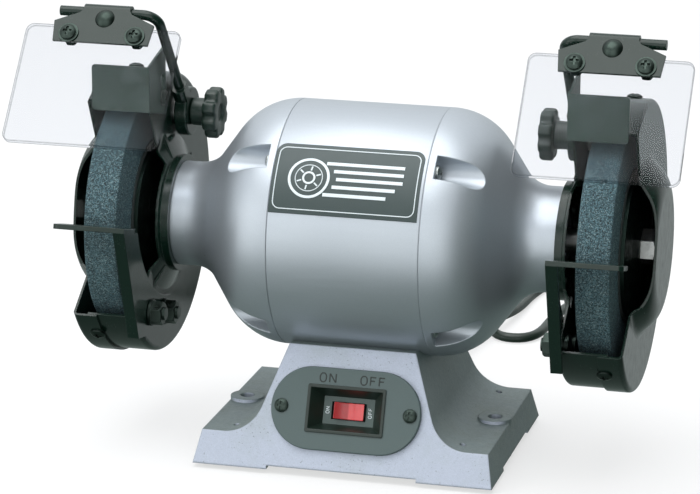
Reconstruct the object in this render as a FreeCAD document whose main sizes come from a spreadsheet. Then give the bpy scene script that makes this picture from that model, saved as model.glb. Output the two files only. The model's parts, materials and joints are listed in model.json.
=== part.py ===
import FreeCAD, Part
import Sketcher
import math
import os

# Bench grinder, millimetres. X runs along the spindle, -Y faces the user, +Z is up.
# The origin is on the bench, midway between the two bench bolts, under the spindle.

os.makedirs("parts", exist_ok=True)
doc = FreeCAD.newDocument("bench_grinder")
sheet = doc.addObject("Spreadsheet::Sheet", "sizes")
nodes = []
rows = []


class Size(float):
    """A number that remembers the spreadsheet formula it comes from."""

    def __new__(cls, value, text):
        made = float.__new__(cls, value)
        made.text = text
        return made

    def __neg__(self):
        return Size(-float(self), "-(" + self.text + ")")

    def __add__(self, other):
        return Size(float(self) + float(other), "(" + self.text + " + " + formula(other) + ")")

    def __radd__(self, other):
        return Size(float(other) + float(self), "(" + formula(other) + " + " + self.text + ")")

    def __sub__(self, other):
        return Size(float(self) - float(other), "(" + self.text + " - " + formula(other) + ")")

    def __rsub__(self, other):
        return Size(float(other) - float(self), "(" + formula(other) + " - " + self.text + ")")

    def __mul__(self, other):
        return Size(float(self) * float(other), self.text + " * " + formula(other))

    def __rmul__(self, other):
        return Size(float(other) * float(self), formula(other) + " * " + self.text)

    def __truediv__(self, other):
        return Size(float(self) / float(other), self.text + " / " + formula(other))


def formula(value):
    if isinstance(value, Size):
        return value.text
    return "(" + repr(float(value)) + ")"


def size(alias, value):
    """One driving dimension: a plain number in its own named cell."""
    rows.append(alias)
    row = str(len(rows))
    sheet.set("A" + row, alias)
    sheet.set("B" + row, repr(float(value)))
    sheet.setAlias("B" + row, alias)
    return Size(value, "sizes." + alias)


# ---------------------------------------------------------------- driving dimensions
running_gap = size("running_gap", 0.3)
pin_clearance = size("pin_clearance", 0.05)

axis_height = size("axis_height", 138.6)

shell_radius = size("shell_radius", 75.0)
shell_wall = size("shell_wall", 4.0)
shell_length = size("shell_length", 92.0)
dome_radius = size("dome_radius", 42.0)
flare_radius = size("flare_radius", 20.0)
dome_angle = size("dome_angle", 54.0)
neck_radius = size("neck_radius", 32.0)
bell_length = size("bell_length", 72.7)
bell_wall = size("bell_wall", 5.0)
pocket_radius = size("pocket_radius", 8.0)
pocket_shelf = size("pocket_shelf", 4.5)
bell_screw_radius = size("bell_screw_radius", 2.0)
bell_screw_head = size("bell_screw_head", 4.4)
bell_screw_inset = size("bell_screw_inset", 7.0)
nameplate_low = size("nameplate_low", 18.2)
nameplate_high = size("nameplate_high", 52.0)
nameplate_thick = size("nameplate_thick", 0.6)
nameplate_corner = size("nameplate_corner", 6.0)

stator_length = size("stator_length", 54.0)
air_gap = size("air_gap", 0.6)
rotor_radius = size("rotor_radius", 34.0)
winding_length = size("winding_length", 14.0)
winding_gap = size("winding_gap", 12.0)
winding_room = size("winding_room", 6.4)
end_ring_length = size("end_ring_length", 6.0)
core_shaft_radius = size("core_shaft_radius", 10.0)
bearing_shaft_radius = size("bearing_shaft_radius", 7.5)
bearing_radius = size("bearing_radius", 17.5)
bearing_width = size("bearing_width", 11.0)
bearing_setback = size("bearing_setback", 9.7)
ball_radius = size("ball_radius", 2.7)
ball_circle = size("ball_circle", 12.5)
arbor_radius = size("arbor_radius", 6.35)

wheel_radius = size("wheel_radius", 75.0)
wheel_width = size("wheel_width", 20.0)
flange_stand_off = size("flange_stand_off", 3.4)
blotter_radius = size("blotter_radius", 46.0)
blotter_thick = size("blotter_thick", 0.8)
flange_radius = size("flange_radius", 43.0)
flange_thick = size("flange_thick", 6.2)
nut_flats = size("nut_flats", 19.0)
nut_height = size("nut_height", 9.0)

sheet_metal = size("sheet_metal", 1.5)
wheel_room = size("wheel_room", 11.0)
guard_stand_off = size("guard_stand_off", 9.3)
guard_width = size("guard_width", 3.6)
guard_lap = size("guard_lap", 6.0)
hub_radius = size("hub_radius", 36.0)
hub_bore = size("hub_bore", 20.0)
hub_step = size("hub_step", 4.5)
cone_radius = size("cone_radius", 48.0)
cover_room = size("cover_room", 8.6)
cover_dome_rise = size("cover_dome_rise", 12.0)
cover_dome_flat = size("cover_dome_flat", 33.0)
cover_dome_round = size("cover_dome_round", 20.0)
cover_foot_round = size("cover_foot_round", 5.5)
opening_low = size("opening_low", -34.0)
opening_high = size("opening_high", 62.0)
dome_chord = size("dome_chord", 34.0)
rib_height = size("rib_height", 5.0)
rib_reach = size("rib_reach", 55.0)

base_width = size("base_width", 184.0)
base_depth = size("base_depth", 146.0)
base_lift = size("base_lift", 3.0)
base_flange_top = size("base_flange_top", 22.3)
base_end_fall = size("base_end_fall", 4.0)
base_lean = size("base_lean", 21.0)
base_side_lean = size("base_side_lean", 20.0)
base_top_width = size("base_top_width", 78.0)
saddle_depth = size("saddle_depth", 11.0)
base_waist_radius = size("base_waist_radius", 24.0)
base_wall = size("base_wall", 5.0)
base_roof = size("base_roof", 6.0)
base_relief = size("base_relief", 2.0)
base_pad_length = size("base_pad_length", 46.0)
bench_hole_inset = size("bench_hole_inset", 13.5)
bench_hole_radius = size("bench_hole_radius", 4.5)
bench_boss_radius = size("bench_boss_radius", 10.5)
bench_boss_rise = size("bench_boss_rise", 2.0)
foot_inset = size("foot_inset", 22.0)
foot_inset_y = size("foot_inset_y", 20.0)
foot_radius = size("foot_radius", 12.0)
foot_screw_radius = size("foot_screw_radius", 2.0)
plate_level = size("plate_level", 6.0)

switch_level = size("switch_level", 39.4)
switch_plate_width = size("switch_plate_width", 92.0)
switch_plate_height = size("switch_plate_height", 50.0)
switch_plate_thick = size("switch_plate_thick", 3.0)
bezel_border = size("bezel_border", 7.5)
bezel_border_y = size("bezel_border_y", 5.25)
bezel_recess = size("bezel_recess", 9.0)
switch_width = size("switch_width", 33.0)
switch_height = size("switch_height", 18.5)
switch_depth = size("switch_depth", 26.0)
rocker_width = size("rocker_width", 10.0)
rocker_tilt = size("rocker_tilt", 8.0)
switch_screw_inset = size("switch_screw_inset", 6.5)

rest_lean = size("rest_lean", 14.0)
rest_depth = size("rest_depth", 21.0)
rest_thick = size("rest_thick", 3.0)
rest_overrun = size("rest_overrun", 3.0)
arm_thick = size("arm_thick", 2.5)
arm_return = size("arm_return", 7.0)
slot_half = size("slot_half", 4.2)
rest_bolt_radius = size("rest_bolt_radius", 4.0)
rest_bolt_flats = size("rest_bolt_flats", 13.0)
rest_bolt_y = size("rest_bolt_y", -50.0)
rest_bolt_drop = size("rest_bolt_drop", 50.6)
rest_bolt_pitch = size("rest_bolt_pitch", 27.0)

arrestor_width = size("arrestor_width", 36.0)
arrestor_inset = size("arrestor_inset", 31.0)
arrestor_drop = size("arrestor_drop", 3.2)
arrestor_height = size("arrestor_height", 27.7)
arrestor_depth = size("arrestor_depth", 31.0)
arrestor_screw_back = size("arrestor_screw_back", 24.0)
arrestor_screw_out = size("arrestor_screw_out", 1.0)
arrestor_screw_radius = size("arrestor_screw_radius", 2.5)

pivot_y = size("pivot_y", 16.0)
pivot_rise = size("pivot_rise", 60.4)
eye_radius = size("eye_radius", 15.0)
eye_setback = size("eye_setback", 2.0)
eye_thick = size("eye_thick", 8.0)
pivot_radius = size("pivot_radius", 4.0)
knob_radius = size("knob_radius", 16.0)
knob_thick = size("knob_thick", 8.5)
knob_reach = size("knob_reach", 18.0)
knob_hub_radius = size("knob_hub_radius", 8.5)
rod_radius = size("rod_radius", 3.0)
rod_bend = size("rod_bend", 9.0)
rod_y = size("rod_y", -42.0)
rod_rise = size("rod_rise", 130.4)
rod_overrun = size("rod_overrun", 15.0)
shield_offset = size("shield_offset", 3.6)
shield_width = size("shield_width", 96.0)
shield_height = size("shield_height", 78.0)
shield_thick = size("shield_thick", 3.0)
shield_lean = size("shield_lean", 39.0)
shield_drop = size("shield_drop", 11.2)
shield_corner = size("shield_corner", 5.0)
bracket_thick = size("bracket_thick", 1.5)
bracket_width = size("bracket_width", 62.0)
bracket_tab_width = size("bracket_tab_width", 29.0)
bracket_screw_inset = size("bracket_screw_inset", 10.5)

cord_radius = size("cord_radius", 3.25)
gland_x = size("gland_x", 8.0)
gland_level = size("gland_level", 26.0)
gland_radius = size("gland_radius", 6.0)
boot_length = size("boot_length", 22.0)
coil_radius = size("coil_radius", 36.0)

# ---------------------------------------------------------------- places that follow from the sizes
seam = shell_length / 2
neck_end = seam + bell_length
bell_screw_circle = shell_radius - bell_screw_inset
bearing_centre = neck_end - bearing_setback
guard_face = neck_end + guard_stand_off
flange_start = guard_face + flange_stand_off
wheel_centre = flange_start + flange_thick + blotter_thick + wheel_width / 2
guard_radius = wheel_radius + wheel_room
guard_split = wheel_centre + guard_width
guard_band_end = guard_split + guard_lap
cover_face = wheel_centre + wheel_width / 2 + cover_room
cover_dome_face = cover_face + cover_dome_rise
base_top_drop = shell_radius - saddle_depth
base_flange_width = base_width - 2 * base_end_fall
base_relief_width = base_width - 2 * base_pad_length
bench_bolt_spacing = base_width - 2 * bench_hole_inset
foot_x = base_width / 2 - foot_inset
foot_y = base_depth / 2 - foot_inset_y
rest_end = cover_face + rest_overrun
arrestor_y = arrestor_inset - wheel_radius
arrestor_screw_y = arrestor_y + arrestor_screw_back
arrestor_screw_rise = wheel_radius + arrestor_screw_out
arrestor_low = wheel_radius - arrestor_drop
arrestor_high = arrestor_low + arrestor_height
eye_outer = guard_face - eye_setback
eye_inner = eye_outer - eye_thick
knob_face = eye_inner - knob_reach
rod_end = cover_face + rod_overrun
shield_centre = wheel_centre + shield_offset
switch_screw_spacing = switch_plate_width - 2 * switch_screw_inset
bezel_width = switch_width + 2 * bezel_border
bezel_height = switch_height + 2 * bezel_border_y
bracket_screw_spacing = bracket_width - 2 * bracket_screw_inset


# ---------------------------------------------------------------- helpers
def bind(target, name, value):
    """Set a property, and bind it to the spreadsheet when the value comes from there."""
    if isinstance(value, Size):
        target.setExpression(name, value.text)
    else:
        setattr(target, name, value)


def keep(piece, label):
    """Name a finished sub-part and list it for export."""
    piece.Label = label
    nodes.append(piece)
    return piece


def spot(x, y, z):
    return FreeCAD.Vector(float(x), float(y), float(z))


def turn(axis, angle, centre=(0, 0, 0)):
    return FreeCAD.Placement(spot(0, 0, 0), FreeCAD.Rotation(spot(*axis), float(angle)), spot(*centre))


def outline(body, plane, corners, offset=0.0):
    """A sketch on one of the body's origin planes, every corner bound to its sizes.

    A corner is (across, up), or (across, up, radius, side) when an arc of that radius
    starts there, with its middle to the left (side 1) or right (side -1) of the way on.
    """
    base = [item for item in body.Origin.OriginFeatures if item.Role == plane][0]
    sketch = body.newObject("Sketcher::SketchObject", body.Name + "_outline")
    sketch.AttachmentSupport = (base, [""])
    sketch.MapMode = "FlatFace"
    sketch.AttachmentOffset = FreeCAD.Placement(spot(0, 0, offset), FreeCAD.Rotation())
    if isinstance(offset, Size):
        sketch.setExpression(".AttachmentOffset.Base.z", offset.text)
    count = len(corners)
    for index, corner in enumerate(corners):
        after = corners[(index + 1) % count]
        start = spot(corner[0], corner[1], 0)
        end = spot(after[0], after[1], 0)
        if len(corner) == 2:
            sketch.addGeometry(Part.LineSegment(start, end), False)
        else:
            sketch.addGeometry(arc_between(start, end, corner[2], corner[3]), False)
    for index, corner in enumerate(corners):
        before = (index - 1) % count
        sketch.addConstraint(Sketcher.Constraint("Coincident", before, last_point(corners[before]),
                                                 index, first_point(corner)))
    for index, corner in enumerate(corners):
        pin_point(sketch, index, first_point(corner), corner)
        if len(corner) == 4:
            number = sketch.addConstraint(Sketcher.Constraint("Radius", index, float(corner[2])))
            bind_constraint(sketch, number, corner[2])
    return sketch


def arc_between(start, end, radius, side):
    middle = (start + end) * 0.5
    along = end - start
    half = along.Length / 2
    reach = math.sqrt(max(float(radius) ** 2 - half ** 2, 0.0))
    across = spot(-along.y, along.x, 0).normalize()
    centre = middle + across * reach * side
    bulge = middle - centre
    if bulge.Length < 1e-6:
        bulge = across * -side
    through = centre + bulge.normalize() * float(radius)
    return Part.Arc(start, through, end)


def is_clockwise(corner):
    return len(corner) == 4 and corner[3] < 0


def first_point(corner):
    return 2 if is_clockwise(corner) else 1


def last_point(corner):
    return 1 if is_clockwise(corner) else 2


def pin_point(sketch, index, end, corner):
    for kind, value in (("DistanceX", corner[0]), ("DistanceY", corner[1])):
        number = sketch.addConstraint(Sketcher.Constraint(kind, -1, 1, index, end, float(value)))
        bind_constraint(sketch, number, value)


def bind_constraint(sketch, number, value):
    if isinstance(value, Size):
        sketch.setExpression("Constraints[" + str(number) + "]", value.text)


def padded(name, plane, corners, start, length):
    """A body padded from a flat outline; it grows along +Z, -Y or +X from its plane."""
    body = doc.addObject("PartDesign::Body", name)
    sketch = outline(body, plane, corners, start)
    pad = body.newObject("PartDesign::Pad", name + "_pad")
    pad.Profile = sketch
    bind(pad, "Length", length)
    body.Tip = pad
    sketch.Visibility = False
    return body


def turned(name, corners, side=1):
    """A body turned about the spindle: corners are (along X, radius from the spindle)."""
    body = doc.addObject("PartDesign::Body", name)
    drawn = [(corner[0] * side,) + tuple(corner[1:]) for corner in corners]
    if side < 0:
        drawn = mirrored_corners(drawn)
    sketch = outline(body, "XY_Plane", drawn)
    spin = body.newObject("PartDesign::Revolution", name + "_spin")
    spin.Profile = sketch
    spin.ReferenceAxis = (sketch, ["H_Axis"])
    spin.Angle = 360.0
    body.Tip = spin
    body.Placement = turn((1, 0, 0), 0)
    body.setExpression(".Placement.Base.z", axis_height.text)
    return body


def mirrored_corners(corners):
    """Swap the side of every arc in an outline that was mirrored."""
    swapped = []
    for corner in corners:
        if len(corner) == 4:
            corner = (corner[0], corner[1], corner[2], -corner[3])
        swapped.append(corner)
    return swapped


def cylinder(name, radius, length, place, axis=(0, 0, 1)):
    made = doc.addObject("Part::Cylinder", name)
    bind(made, "Radius", radius)
    bind(made, "Height", length)
    made.Placement = FreeCAD.Placement(spot(*place), FreeCAD.Rotation(spot(0, 0, 1), spot(*axis)))
    bind_place(made, place)
    return made


def box(name, width, depth, height, corner):
    made = doc.addObject("Part::Box", name)
    bind(made, "Length", width)
    bind(made, "Width", depth)
    bind(made, "Height", height)
    made.Placement = FreeCAD.Placement(spot(*corner), FreeCAD.Rotation())
    bind_place(made, corner)
    return made


def bind_place(made, place):
    for letter, value in zip("xyz", place):
        if isinstance(value, Size):
            made.setExpression(".Placement.Base." + letter, value.text)


def cut(name, base, tools):
    """Take each tool from the base in turn."""
    for index, tool in enumerate(tools):
        made = doc.addObject("Part::Cut", name + "_cut_" + str(index))
        made.Base = base
        made.Tool = tool
        base = made
    return base


def fused(name, pieces):
    made = doc.addObject("Part::MultiFuse", name + "_fuse")
    made.Shapes = pieces
    return made


def group(name, pieces):
    """Several separate solids that share one node."""
    made = doc.addObject("Part::Compound", name + "_group")
    made.Links = pieces
    return made


def solid(name, shape):
    made = doc.addObject("Part::Feature", name + "_shape")
    made.Shape = shape
    return made


def hexagon(flats, height):
    """A nut or bolt head blank standing on z = 0, with its corners turned off."""
    corner = float(flats) / 2 / math.cos(math.pi / 6)
    points = []
    for step in range(6):
        angle = math.radians(60 * step)
        points.append(spot(corner * math.cos(angle), corner * math.sin(angle), 0))
    blank = Part.Face(Part.makePolygon(points + points[:1])).extrude(spot(0, 0, height))
    fall = (corner - float(flats) / 2 * 0.98) * 0.58
    wide = corner + 0.01
    cap = Part.makeCylinder(wide, float(height) - fall)
    crown = Part.makeCone(wide, float(flats) / 2 * 0.98, fall, spot(0, 0, float(height) - fall))
    return blank.common(cap.fuse(crown))


def pan_screw(head_radius, head_height, shank_radius, shank_length):
    """A cross-head pan screw: the head stands on z = 0 and the shank points down."""
    head_radius = float(head_radius)
    head_height = float(head_height)
    rim = head_height * 0.4
    crown = head_height - rim
    ball = (head_radius ** 2 + crown ** 2) / (2 * crown)
    dome = Part.makeSphere(ball, spot(0, 0, head_height - ball))
    head = Part.makeCylinder(head_radius, head_height).common(dome)
    shank = Part.makeCylinder(float(shank_radius), float(shank_length), spot(0, 0, -float(shank_length)))
    slot = head_radius * 0.17
    reach = head_radius * 0.58
    depth = head_height * 0.62
    cross = Part.makeBox(2 * reach, 2 * slot, depth, spot(-reach, -slot, head_height - depth))
    other = Part.makeBox(2 * slot, 2 * reach, depth, spot(-slot, -reach, head_height - depth))
    return head.fuse(shank).cut(cross.fuse(other))


def facing(shape, place, direction):
    """Stand a shape made along +Z at a place, facing a direction."""
    moved = shape.copy()
    moved.Placement = FreeCAD.Placement(spot(*place), FreeCAD.Rotation(spot(0, 0, 1), spot(*direction)))
    return moved


def around(angle, radius):
    """The (y, z) of a point round the spindle; 0 degrees faces the user and 90 is up."""
    bearing = math.radians(float(angle))
    return (-float(radius) * math.cos(bearing), axis_height + float(radius) * math.sin(bearing))


def sector(low, high, inner, outer, start, end):
    """A wedge-shaped block round the spindle, for cutting the guards open."""
    points = []
    steps = 8
    for step in range(steps + 1):
        points.append(around(low + (high - low) * step / steps, outer))
    points.append(around(high, inner))
    for step in range(1, steps):
        points.append(around(high + (low - high) * step / steps, inner))
    points.append(around(low, inner))
    wire = Part.makePolygon([spot(start, y, z) for y, z in points + points[:1]])
    return Part.Face(wire).extrude(spot(float(end) - float(start), 0, 0))


# ---------------------------------------------------------------- motor
SIDES = ((-1, "left"), (1, "right"))
bore_radius = shell_radius - shell_wall
inside_bell = shell_radius - bell_wall
nut_start = wheel_centre + wheel_width / 2 + blotter_thick + flange_thick
spindle_tip = nut_start + nut_height + 1.5
bearing_inner = bearing_centre - bearing_width / 2
bearing_outer = bearing_centre + bearing_width / 2


def screw_places(circle):
    """The four (y, z) places of the end-bell screws."""
    return [around(45 + 90 * step, circle) for step in range(4)]


def motor_shell():
    tube = turned("shell_tube", [(-seam, bore_radius), (seam, bore_radius),
                                  (seam, shell_radius), (-seam, shell_radius)])
    lugs = []
    holes = []
    lug_length = 16.0
    for side, word in SIDES:
        for index, (y, z) in enumerate(screw_places(bell_screw_circle)):
            lug = Part.makeCylinder(5.0, lug_length, spot(0, 0, 0), spot(1, 0, 0))
            start = seam - lug_length if side > 0 else -seam
            lug.translate(spot(start, y, z))
            lugs.append(lug)
            hole = Part.makeCylinder(float(bell_screw_radius), lug_length, spot(start, y, z), spot(1, 0, 0))
            holes.append(hole)
    keep_out = Part.makeCylinder(float(shell_radius) - 1.0, float(shell_length),
                                 spot(-seam, 0, axis_height), spot(1, 0, 0))
    lugs = [lug.common(keep_out) for lug in lugs]
    lug_piece = solid("shell_lugs", Part.makeCompound(lugs))
    hole_piece = solid("shell_lug_holes", Part.makeCompound(holes))
    joined = fused("shell_with_lugs", [tube, lug_piece])
    bolt_holes = solid("shell_bolt_holes", Part.makeCompound(saddle_bolt_shanks(0.0)))
    keep(cut("motor_shell", joined, [hole_piece, bolt_holes]), "motor_shell")


def saddle_bolt_shanks(extra):
    """The two bolts that hold the motor down in its saddle."""
    roof = cavity_roof()
    length = float(axis_height) - float(bore_radius) - 0.4 - float(roof)
    made = []
    for side, word in SIDES:
        made.append(Part.makeCylinder(3.0 + extra, length, spot(24.0 * side, 0, roof)))
    return made


def cavity_roof():
    return axis_height - shell_radius - base_roof


def bell_outer_corners(inner):
    """The bell's section, with its cavity when inner is true."""
    turn_in = math.radians(float(dome_angle))
    dome_end_x = float(seam) + float(dome_radius) * math.sin(turn_in)
    dome_end_r = float(shell_radius) - float(dome_radius) * (1 - math.cos(turn_in))
    flare_top_r = float(neck_radius) + float(flare_radius) * (1 - math.cos(turn_in))
    flare_top_x = dome_end_x + (dome_end_r - flare_top_r) / math.tan(turn_in)
    flare_end_x = flare_top_x + float(flare_radius) * math.sin(turn_in)
    corners = []
    if inner:
        seat = bearing_radius
        corners += [(seam, inside_bell), (seam + 10, inside_bell - 2), (seam + 29, inside_bell - 18),
                    (bearing_inner - 12, neck_radius), (bearing_inner - 5, seat + 6),
                    (bearing_inner - 5, seat), (bearing_outer, seat), (bearing_outer, seat - 4.5),
                    (neck_end, seat - 4.5)]
    else:
        corners += [(seam, 0.0), (neck_end, 0.0)]
    corners += [(neck_end, neck_radius), (flare_end_x, neck_radius, flare_radius, -1),
                (flare_top_x, flare_top_r), (dome_end_x, dome_end_r, dome_radius, 1),
                (seam, shell_radius)]
    return corners


def end_bell(side, word):
    name = word + "_end_bell"
    bell = turned(name + "_section", bell_outer_corners(True), side)
    full = turned(name + "_full", bell_outer_corners(False), side)
    shelf = seam + pocket_shelf
    reach = 34.0
    bosses = []
    pockets = []
    holes = []
    for y, z in screw_places(bell_screw_circle):
        tilt = math.degrees(math.atan2(z - float(axis_height), y))
        boss = Part.makeCylinder(float(pocket_radius) + 3, reach, spot(0, 0, 0), spot(side, 0, 0))
        boss.translate(spot(side * float(seam), y, z))
        bosses.append(boss)
        round_end = Part.makeCylinder(float(pocket_radius), 80.0, spot(0, 0, 0), spot(side, 0, 0))
        mouth = Part.makeBox(80.0, 40.0, 2 * float(pocket_radius),
                             spot(0 if side > 0 else -80.0, 0, -float(pocket_radius)))
        mouth.rotate(spot(0, 0, 0), spot(1, 0, 0), tilt)
        pocket = round_end.fuse(mouth)
        pocket.translate(spot(side * float(shelf), y, z))
        pockets.append(pocket)
        hole = Part.makeCylinder(float(bell_screw_radius), 10.0, spot(side * float(seam), y, z),
                                 spot(side, 0, 0))
        holes.append(hole)
    inside = solid(name + "_bosses", Part.makeCompound(bosses))
    trimmed = doc.addObject("Part::Common", name + "_boss_trim")
    trimmed.Base = full
    trimmed.Tool = inside
    joined = fused(name + "_bossed", [bell, trimmed])
    screws = []
    for angle in (30, 150, 270):
        y, z = around(angle, 26.0)
        screws.append(Part.makeCylinder(2.5, 10.0, spot(side * float(neck_end), y, z), spot(-side, 0, 0)))
    tools = [solid(name + "_pockets", Part.makeCompound(pockets)),
             solid(name + "_holes", Part.makeCompound(holes + screws))]
    keep(cut(name, joined, tools), name)


def bell_screws():
    made = []
    shelf = seam + pocket_shelf
    for side, word in SIDES:
        for y, z in screw_places(bell_screw_circle):
            screw = pan_screw(bell_screw_head, 3.2, bell_screw_radius, float(pocket_shelf) + 12.0)
            made.append(facing(screw, (side * float(shelf), y, z), (side, 0, 0)))
    keep(solid("bell_screws", Part.makeCompound(made)), "bell_screws")


def nameplate():
    skin = float(shell_radius + nameplate_thick)
    plate = Part.makeCylinder(skin, float(shell_length), spot(-seam, 0, axis_height), spot(1, 0, 0))
    core = Part.makeCylinder(float(shell_radius), float(shell_length),
                             spot(-seam, 0, axis_height), spot(1, 0, 0))
    middle = float(nameplate_low + nameplate_high) / 2
    half = skin * math.sin(math.radians(float(nameplate_high) - middle))
    left = -float(seam) + 0.5
    right = float(seam) - 2.0
    window = Part.makeBox(right - left, 2 * half, 60.0, spot(left, -half, 30.0))
    tops = [edge for edge in window.Edges
            if abs(edge.Length - 60.0) < 0.01 and abs(edge.CenterOfMass.y - half) < 0.1]
    window = window.makeFillet(float(nameplate_corner), tops)
    window.Placement = turn((1, 0, 0), 90 - middle).multiply(window.Placement)
    window.translate(spot(0, 0, axis_height))
    keep(solid("nameplate", plate.cut(core).common(window)), "nameplate")


def stator():
    half = stator_length / 2
    bore = rotor_radius + air_gap
    core = turned("stator_core", [(-half, bore), (half, bore), (half, bore_radius), (-half, bore_radius)])
    keep(core, "stator_core")
    rings = []
    for side, word in SIDES:
        end = half + winding_length
        high = bore_radius - winding_gap
        low = bore + winding_room
        soft = (high - low) * (2 / 9)
        corners = [(half, low), (end - 3, low), (end, low + soft), (end, high - soft), (end - 3, high),
                   (half, high)]
        rings.append(turned("winding_" + word, corners, side))
    keep(group("stator_windings", rings), "stator_windings")


def rotor():
    half = stator_length / 2
    end = half + end_ring_length
    corners = [(-end, core_shaft_radius), (end, core_shaft_radius), (end, rotor_radius - 4),
               (half, rotor_radius - 2), (half, rotor_radius), (-half, rotor_radius),
               (-half, rotor_radius - 2), (-end, rotor_radius - 4)]
    keep(turned("rotor_core", corners), "rotor_core")


def spindle():
    end = stator_length / 2 + end_ring_length
    half = [(end, core_shaft_radius), (bearing_inner, core_shaft_radius),
            (bearing_inner, bearing_shaft_radius), (flange_start, bearing_shaft_radius),
            (flange_start, arbor_radius), (spindle_tip - 1, arbor_radius),
            (spindle_tip, arbor_radius - 1)]
    left = [(-corner[0], corner[1]) for corner in half]
    corners = [(-spindle_tip, 0.0), (spindle_tip, 0.0)] + half[::-1] + left
    keep(turned("spindle", corners), "spindle")


def bearings():
    outer_rings = []
    inner_rings = []
    cages = []
    for side, word in SIDES:
        race = ball_circle + ball_radius
        outer = [(bearing_inner, race + 0.6), (bearing_centre - 2, race + 0.6), (bearing_centre - 2, race),
                 (bearing_centre + 2, race), (bearing_centre + 2, race + 0.6), (bearing_outer, race + 0.6),
                 (bearing_outer, bearing_radius), (bearing_inner, bearing_radius)]
        outer_rings.append(turned("outer_ring_" + word, outer, side))
        track = ball_circle - ball_radius - pin_clearance
        inner = [(bearing_inner, bearing_shaft_radius), (bearing_outer, bearing_shaft_radius),
                 (bearing_outer, track), (bearing_inner, track)]
        inner_rings.append(turned("inner_ring_" + word, inner, side))
        middle = side * float(bearing_centre)
        cage = Part.makeCylinder(float(ball_circle) + 0.5, 3.0, spot(middle - 1.5, 0, axis_height),
                                 spot(1, 0, 0))
        hollow = Part.makeCylinder(float(ball_circle) - 0.5, 3.0, spot(middle - 1.5, 0, axis_height),
                                   spot(1, 0, 0))
        balls = []
        for index in range(8):
            y, z = around(45 * index, ball_circle)
            balls.append(Part.makeSphere(float(ball_radius), spot(middle, y, z)))
        cages.append(cage.cut(hollow).multiFuse(balls))
    keep(group("bearing_outer_rings", outer_rings), "bearing_outer_rings")
    keep(group("bearing_inner_rings", inner_rings), "bearing_inner_rings")
    keep(solid("bearing_balls", Part.makeCompound(cages)), "bearing_balls")


# ---------------------------------------------------------------- wheels
def flange_corners(start, way):
    """A dished clamping flange; way is 1 when its wheel face is at the larger X."""
    back = start
    front = start + way * flange_thick
    return [(back, arbor_radius), (front, arbor_radius), (front, arbor_radius + 6),
            (front - way * 1.0, arbor_radius + 8), (front - way * 1.0, flange_radius - 10),
            (front, flange_radius - 8), (front, flange_radius), (front - way * 2.2, flange_radius),
            (front - way * 4.0, flange_radius - 18), (back, arbor_radius + 8)]


def wheels():
    inner_flanges = []
    outer_flanges = []
    blotters = []
    nuts = []
    near = wheel_centre - wheel_width / 2
    far = wheel_centre + wheel_width / 2
    for side, word in SIDES:
        inner_flanges.append(turned("inner_flange_" + word, flange_corners(flange_start, 1), side))
        outer_flanges.append(turned("outer_flange_" + word, flange_corners(nut_start, -1), side))
        for place, start in (("in", near - blotter_thick), ("out", far)):
            ring = [(start, arbor_radius), (start + blotter_thick, arbor_radius),
                    (start + blotter_thick, blotter_radius), (start, blotter_radius)]
            blotters.append(turned("blotter_" + place + "_" + word, ring, side))
        edge = 0.6
        wheel = [(near, arbor_radius), (far, arbor_radius), (far, wheel_radius - edge),
                 (far - edge, wheel_radius), (near + edge, wheel_radius), (near, wheel_radius - edge)]
        keep(turned(word + "_grinding_wheel", wheel, side), word + "_grinding_wheel")
        nut = hexagon(nut_flats, nut_height).cut(Part.makeCylinder(float(arbor_radius), 20.0))
        nuts.append(facing(nut, (side * float(nut_start), 0, axis_height), (side, 0, 0)))
    keep(group("inner_flanges", inner_flanges), "inner_flanges")
    keep(group("outer_flanges", outer_flanges), "outer_flanges")
    keep(group("wheel_blotters", blotters), "wheel_blotters")
    keep(solid("arbor_nuts", Part.makeCompound(nuts)), "arbor_nuts")


# ---------------------------------------------------------------- guards
def along_rest(distance):
    """A (y, z) along the tool rest's slot, measured from its first bolt towards the wheel."""
    lean = math.radians(float(rest_lean))
    return (float(rest_bolt_y) + distance * math.cos(lean),
            float(axis_height) - float(rest_bolt_drop) - distance * math.sin(lean))


def rest_bolt_places():
    return [along_rest(0.0), along_rest(float(rest_bolt_pitch))]


def arrestor_screw_place():
    return (float(arrestor_screw_y), float(axis_height + arrestor_screw_rise))


def pivot_place():
    return (float(pivot_y), float(axis_height + pivot_rise))


def hub_screw_places():
    return [around(angle, 26.0) for angle in (30, 150, 270)]


COVER_SCREW_ANGLES = (-46.0, 205.0, 102.0)


def cover_screw_x():
    return (guard_split + guard_band_end) / 2


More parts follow.
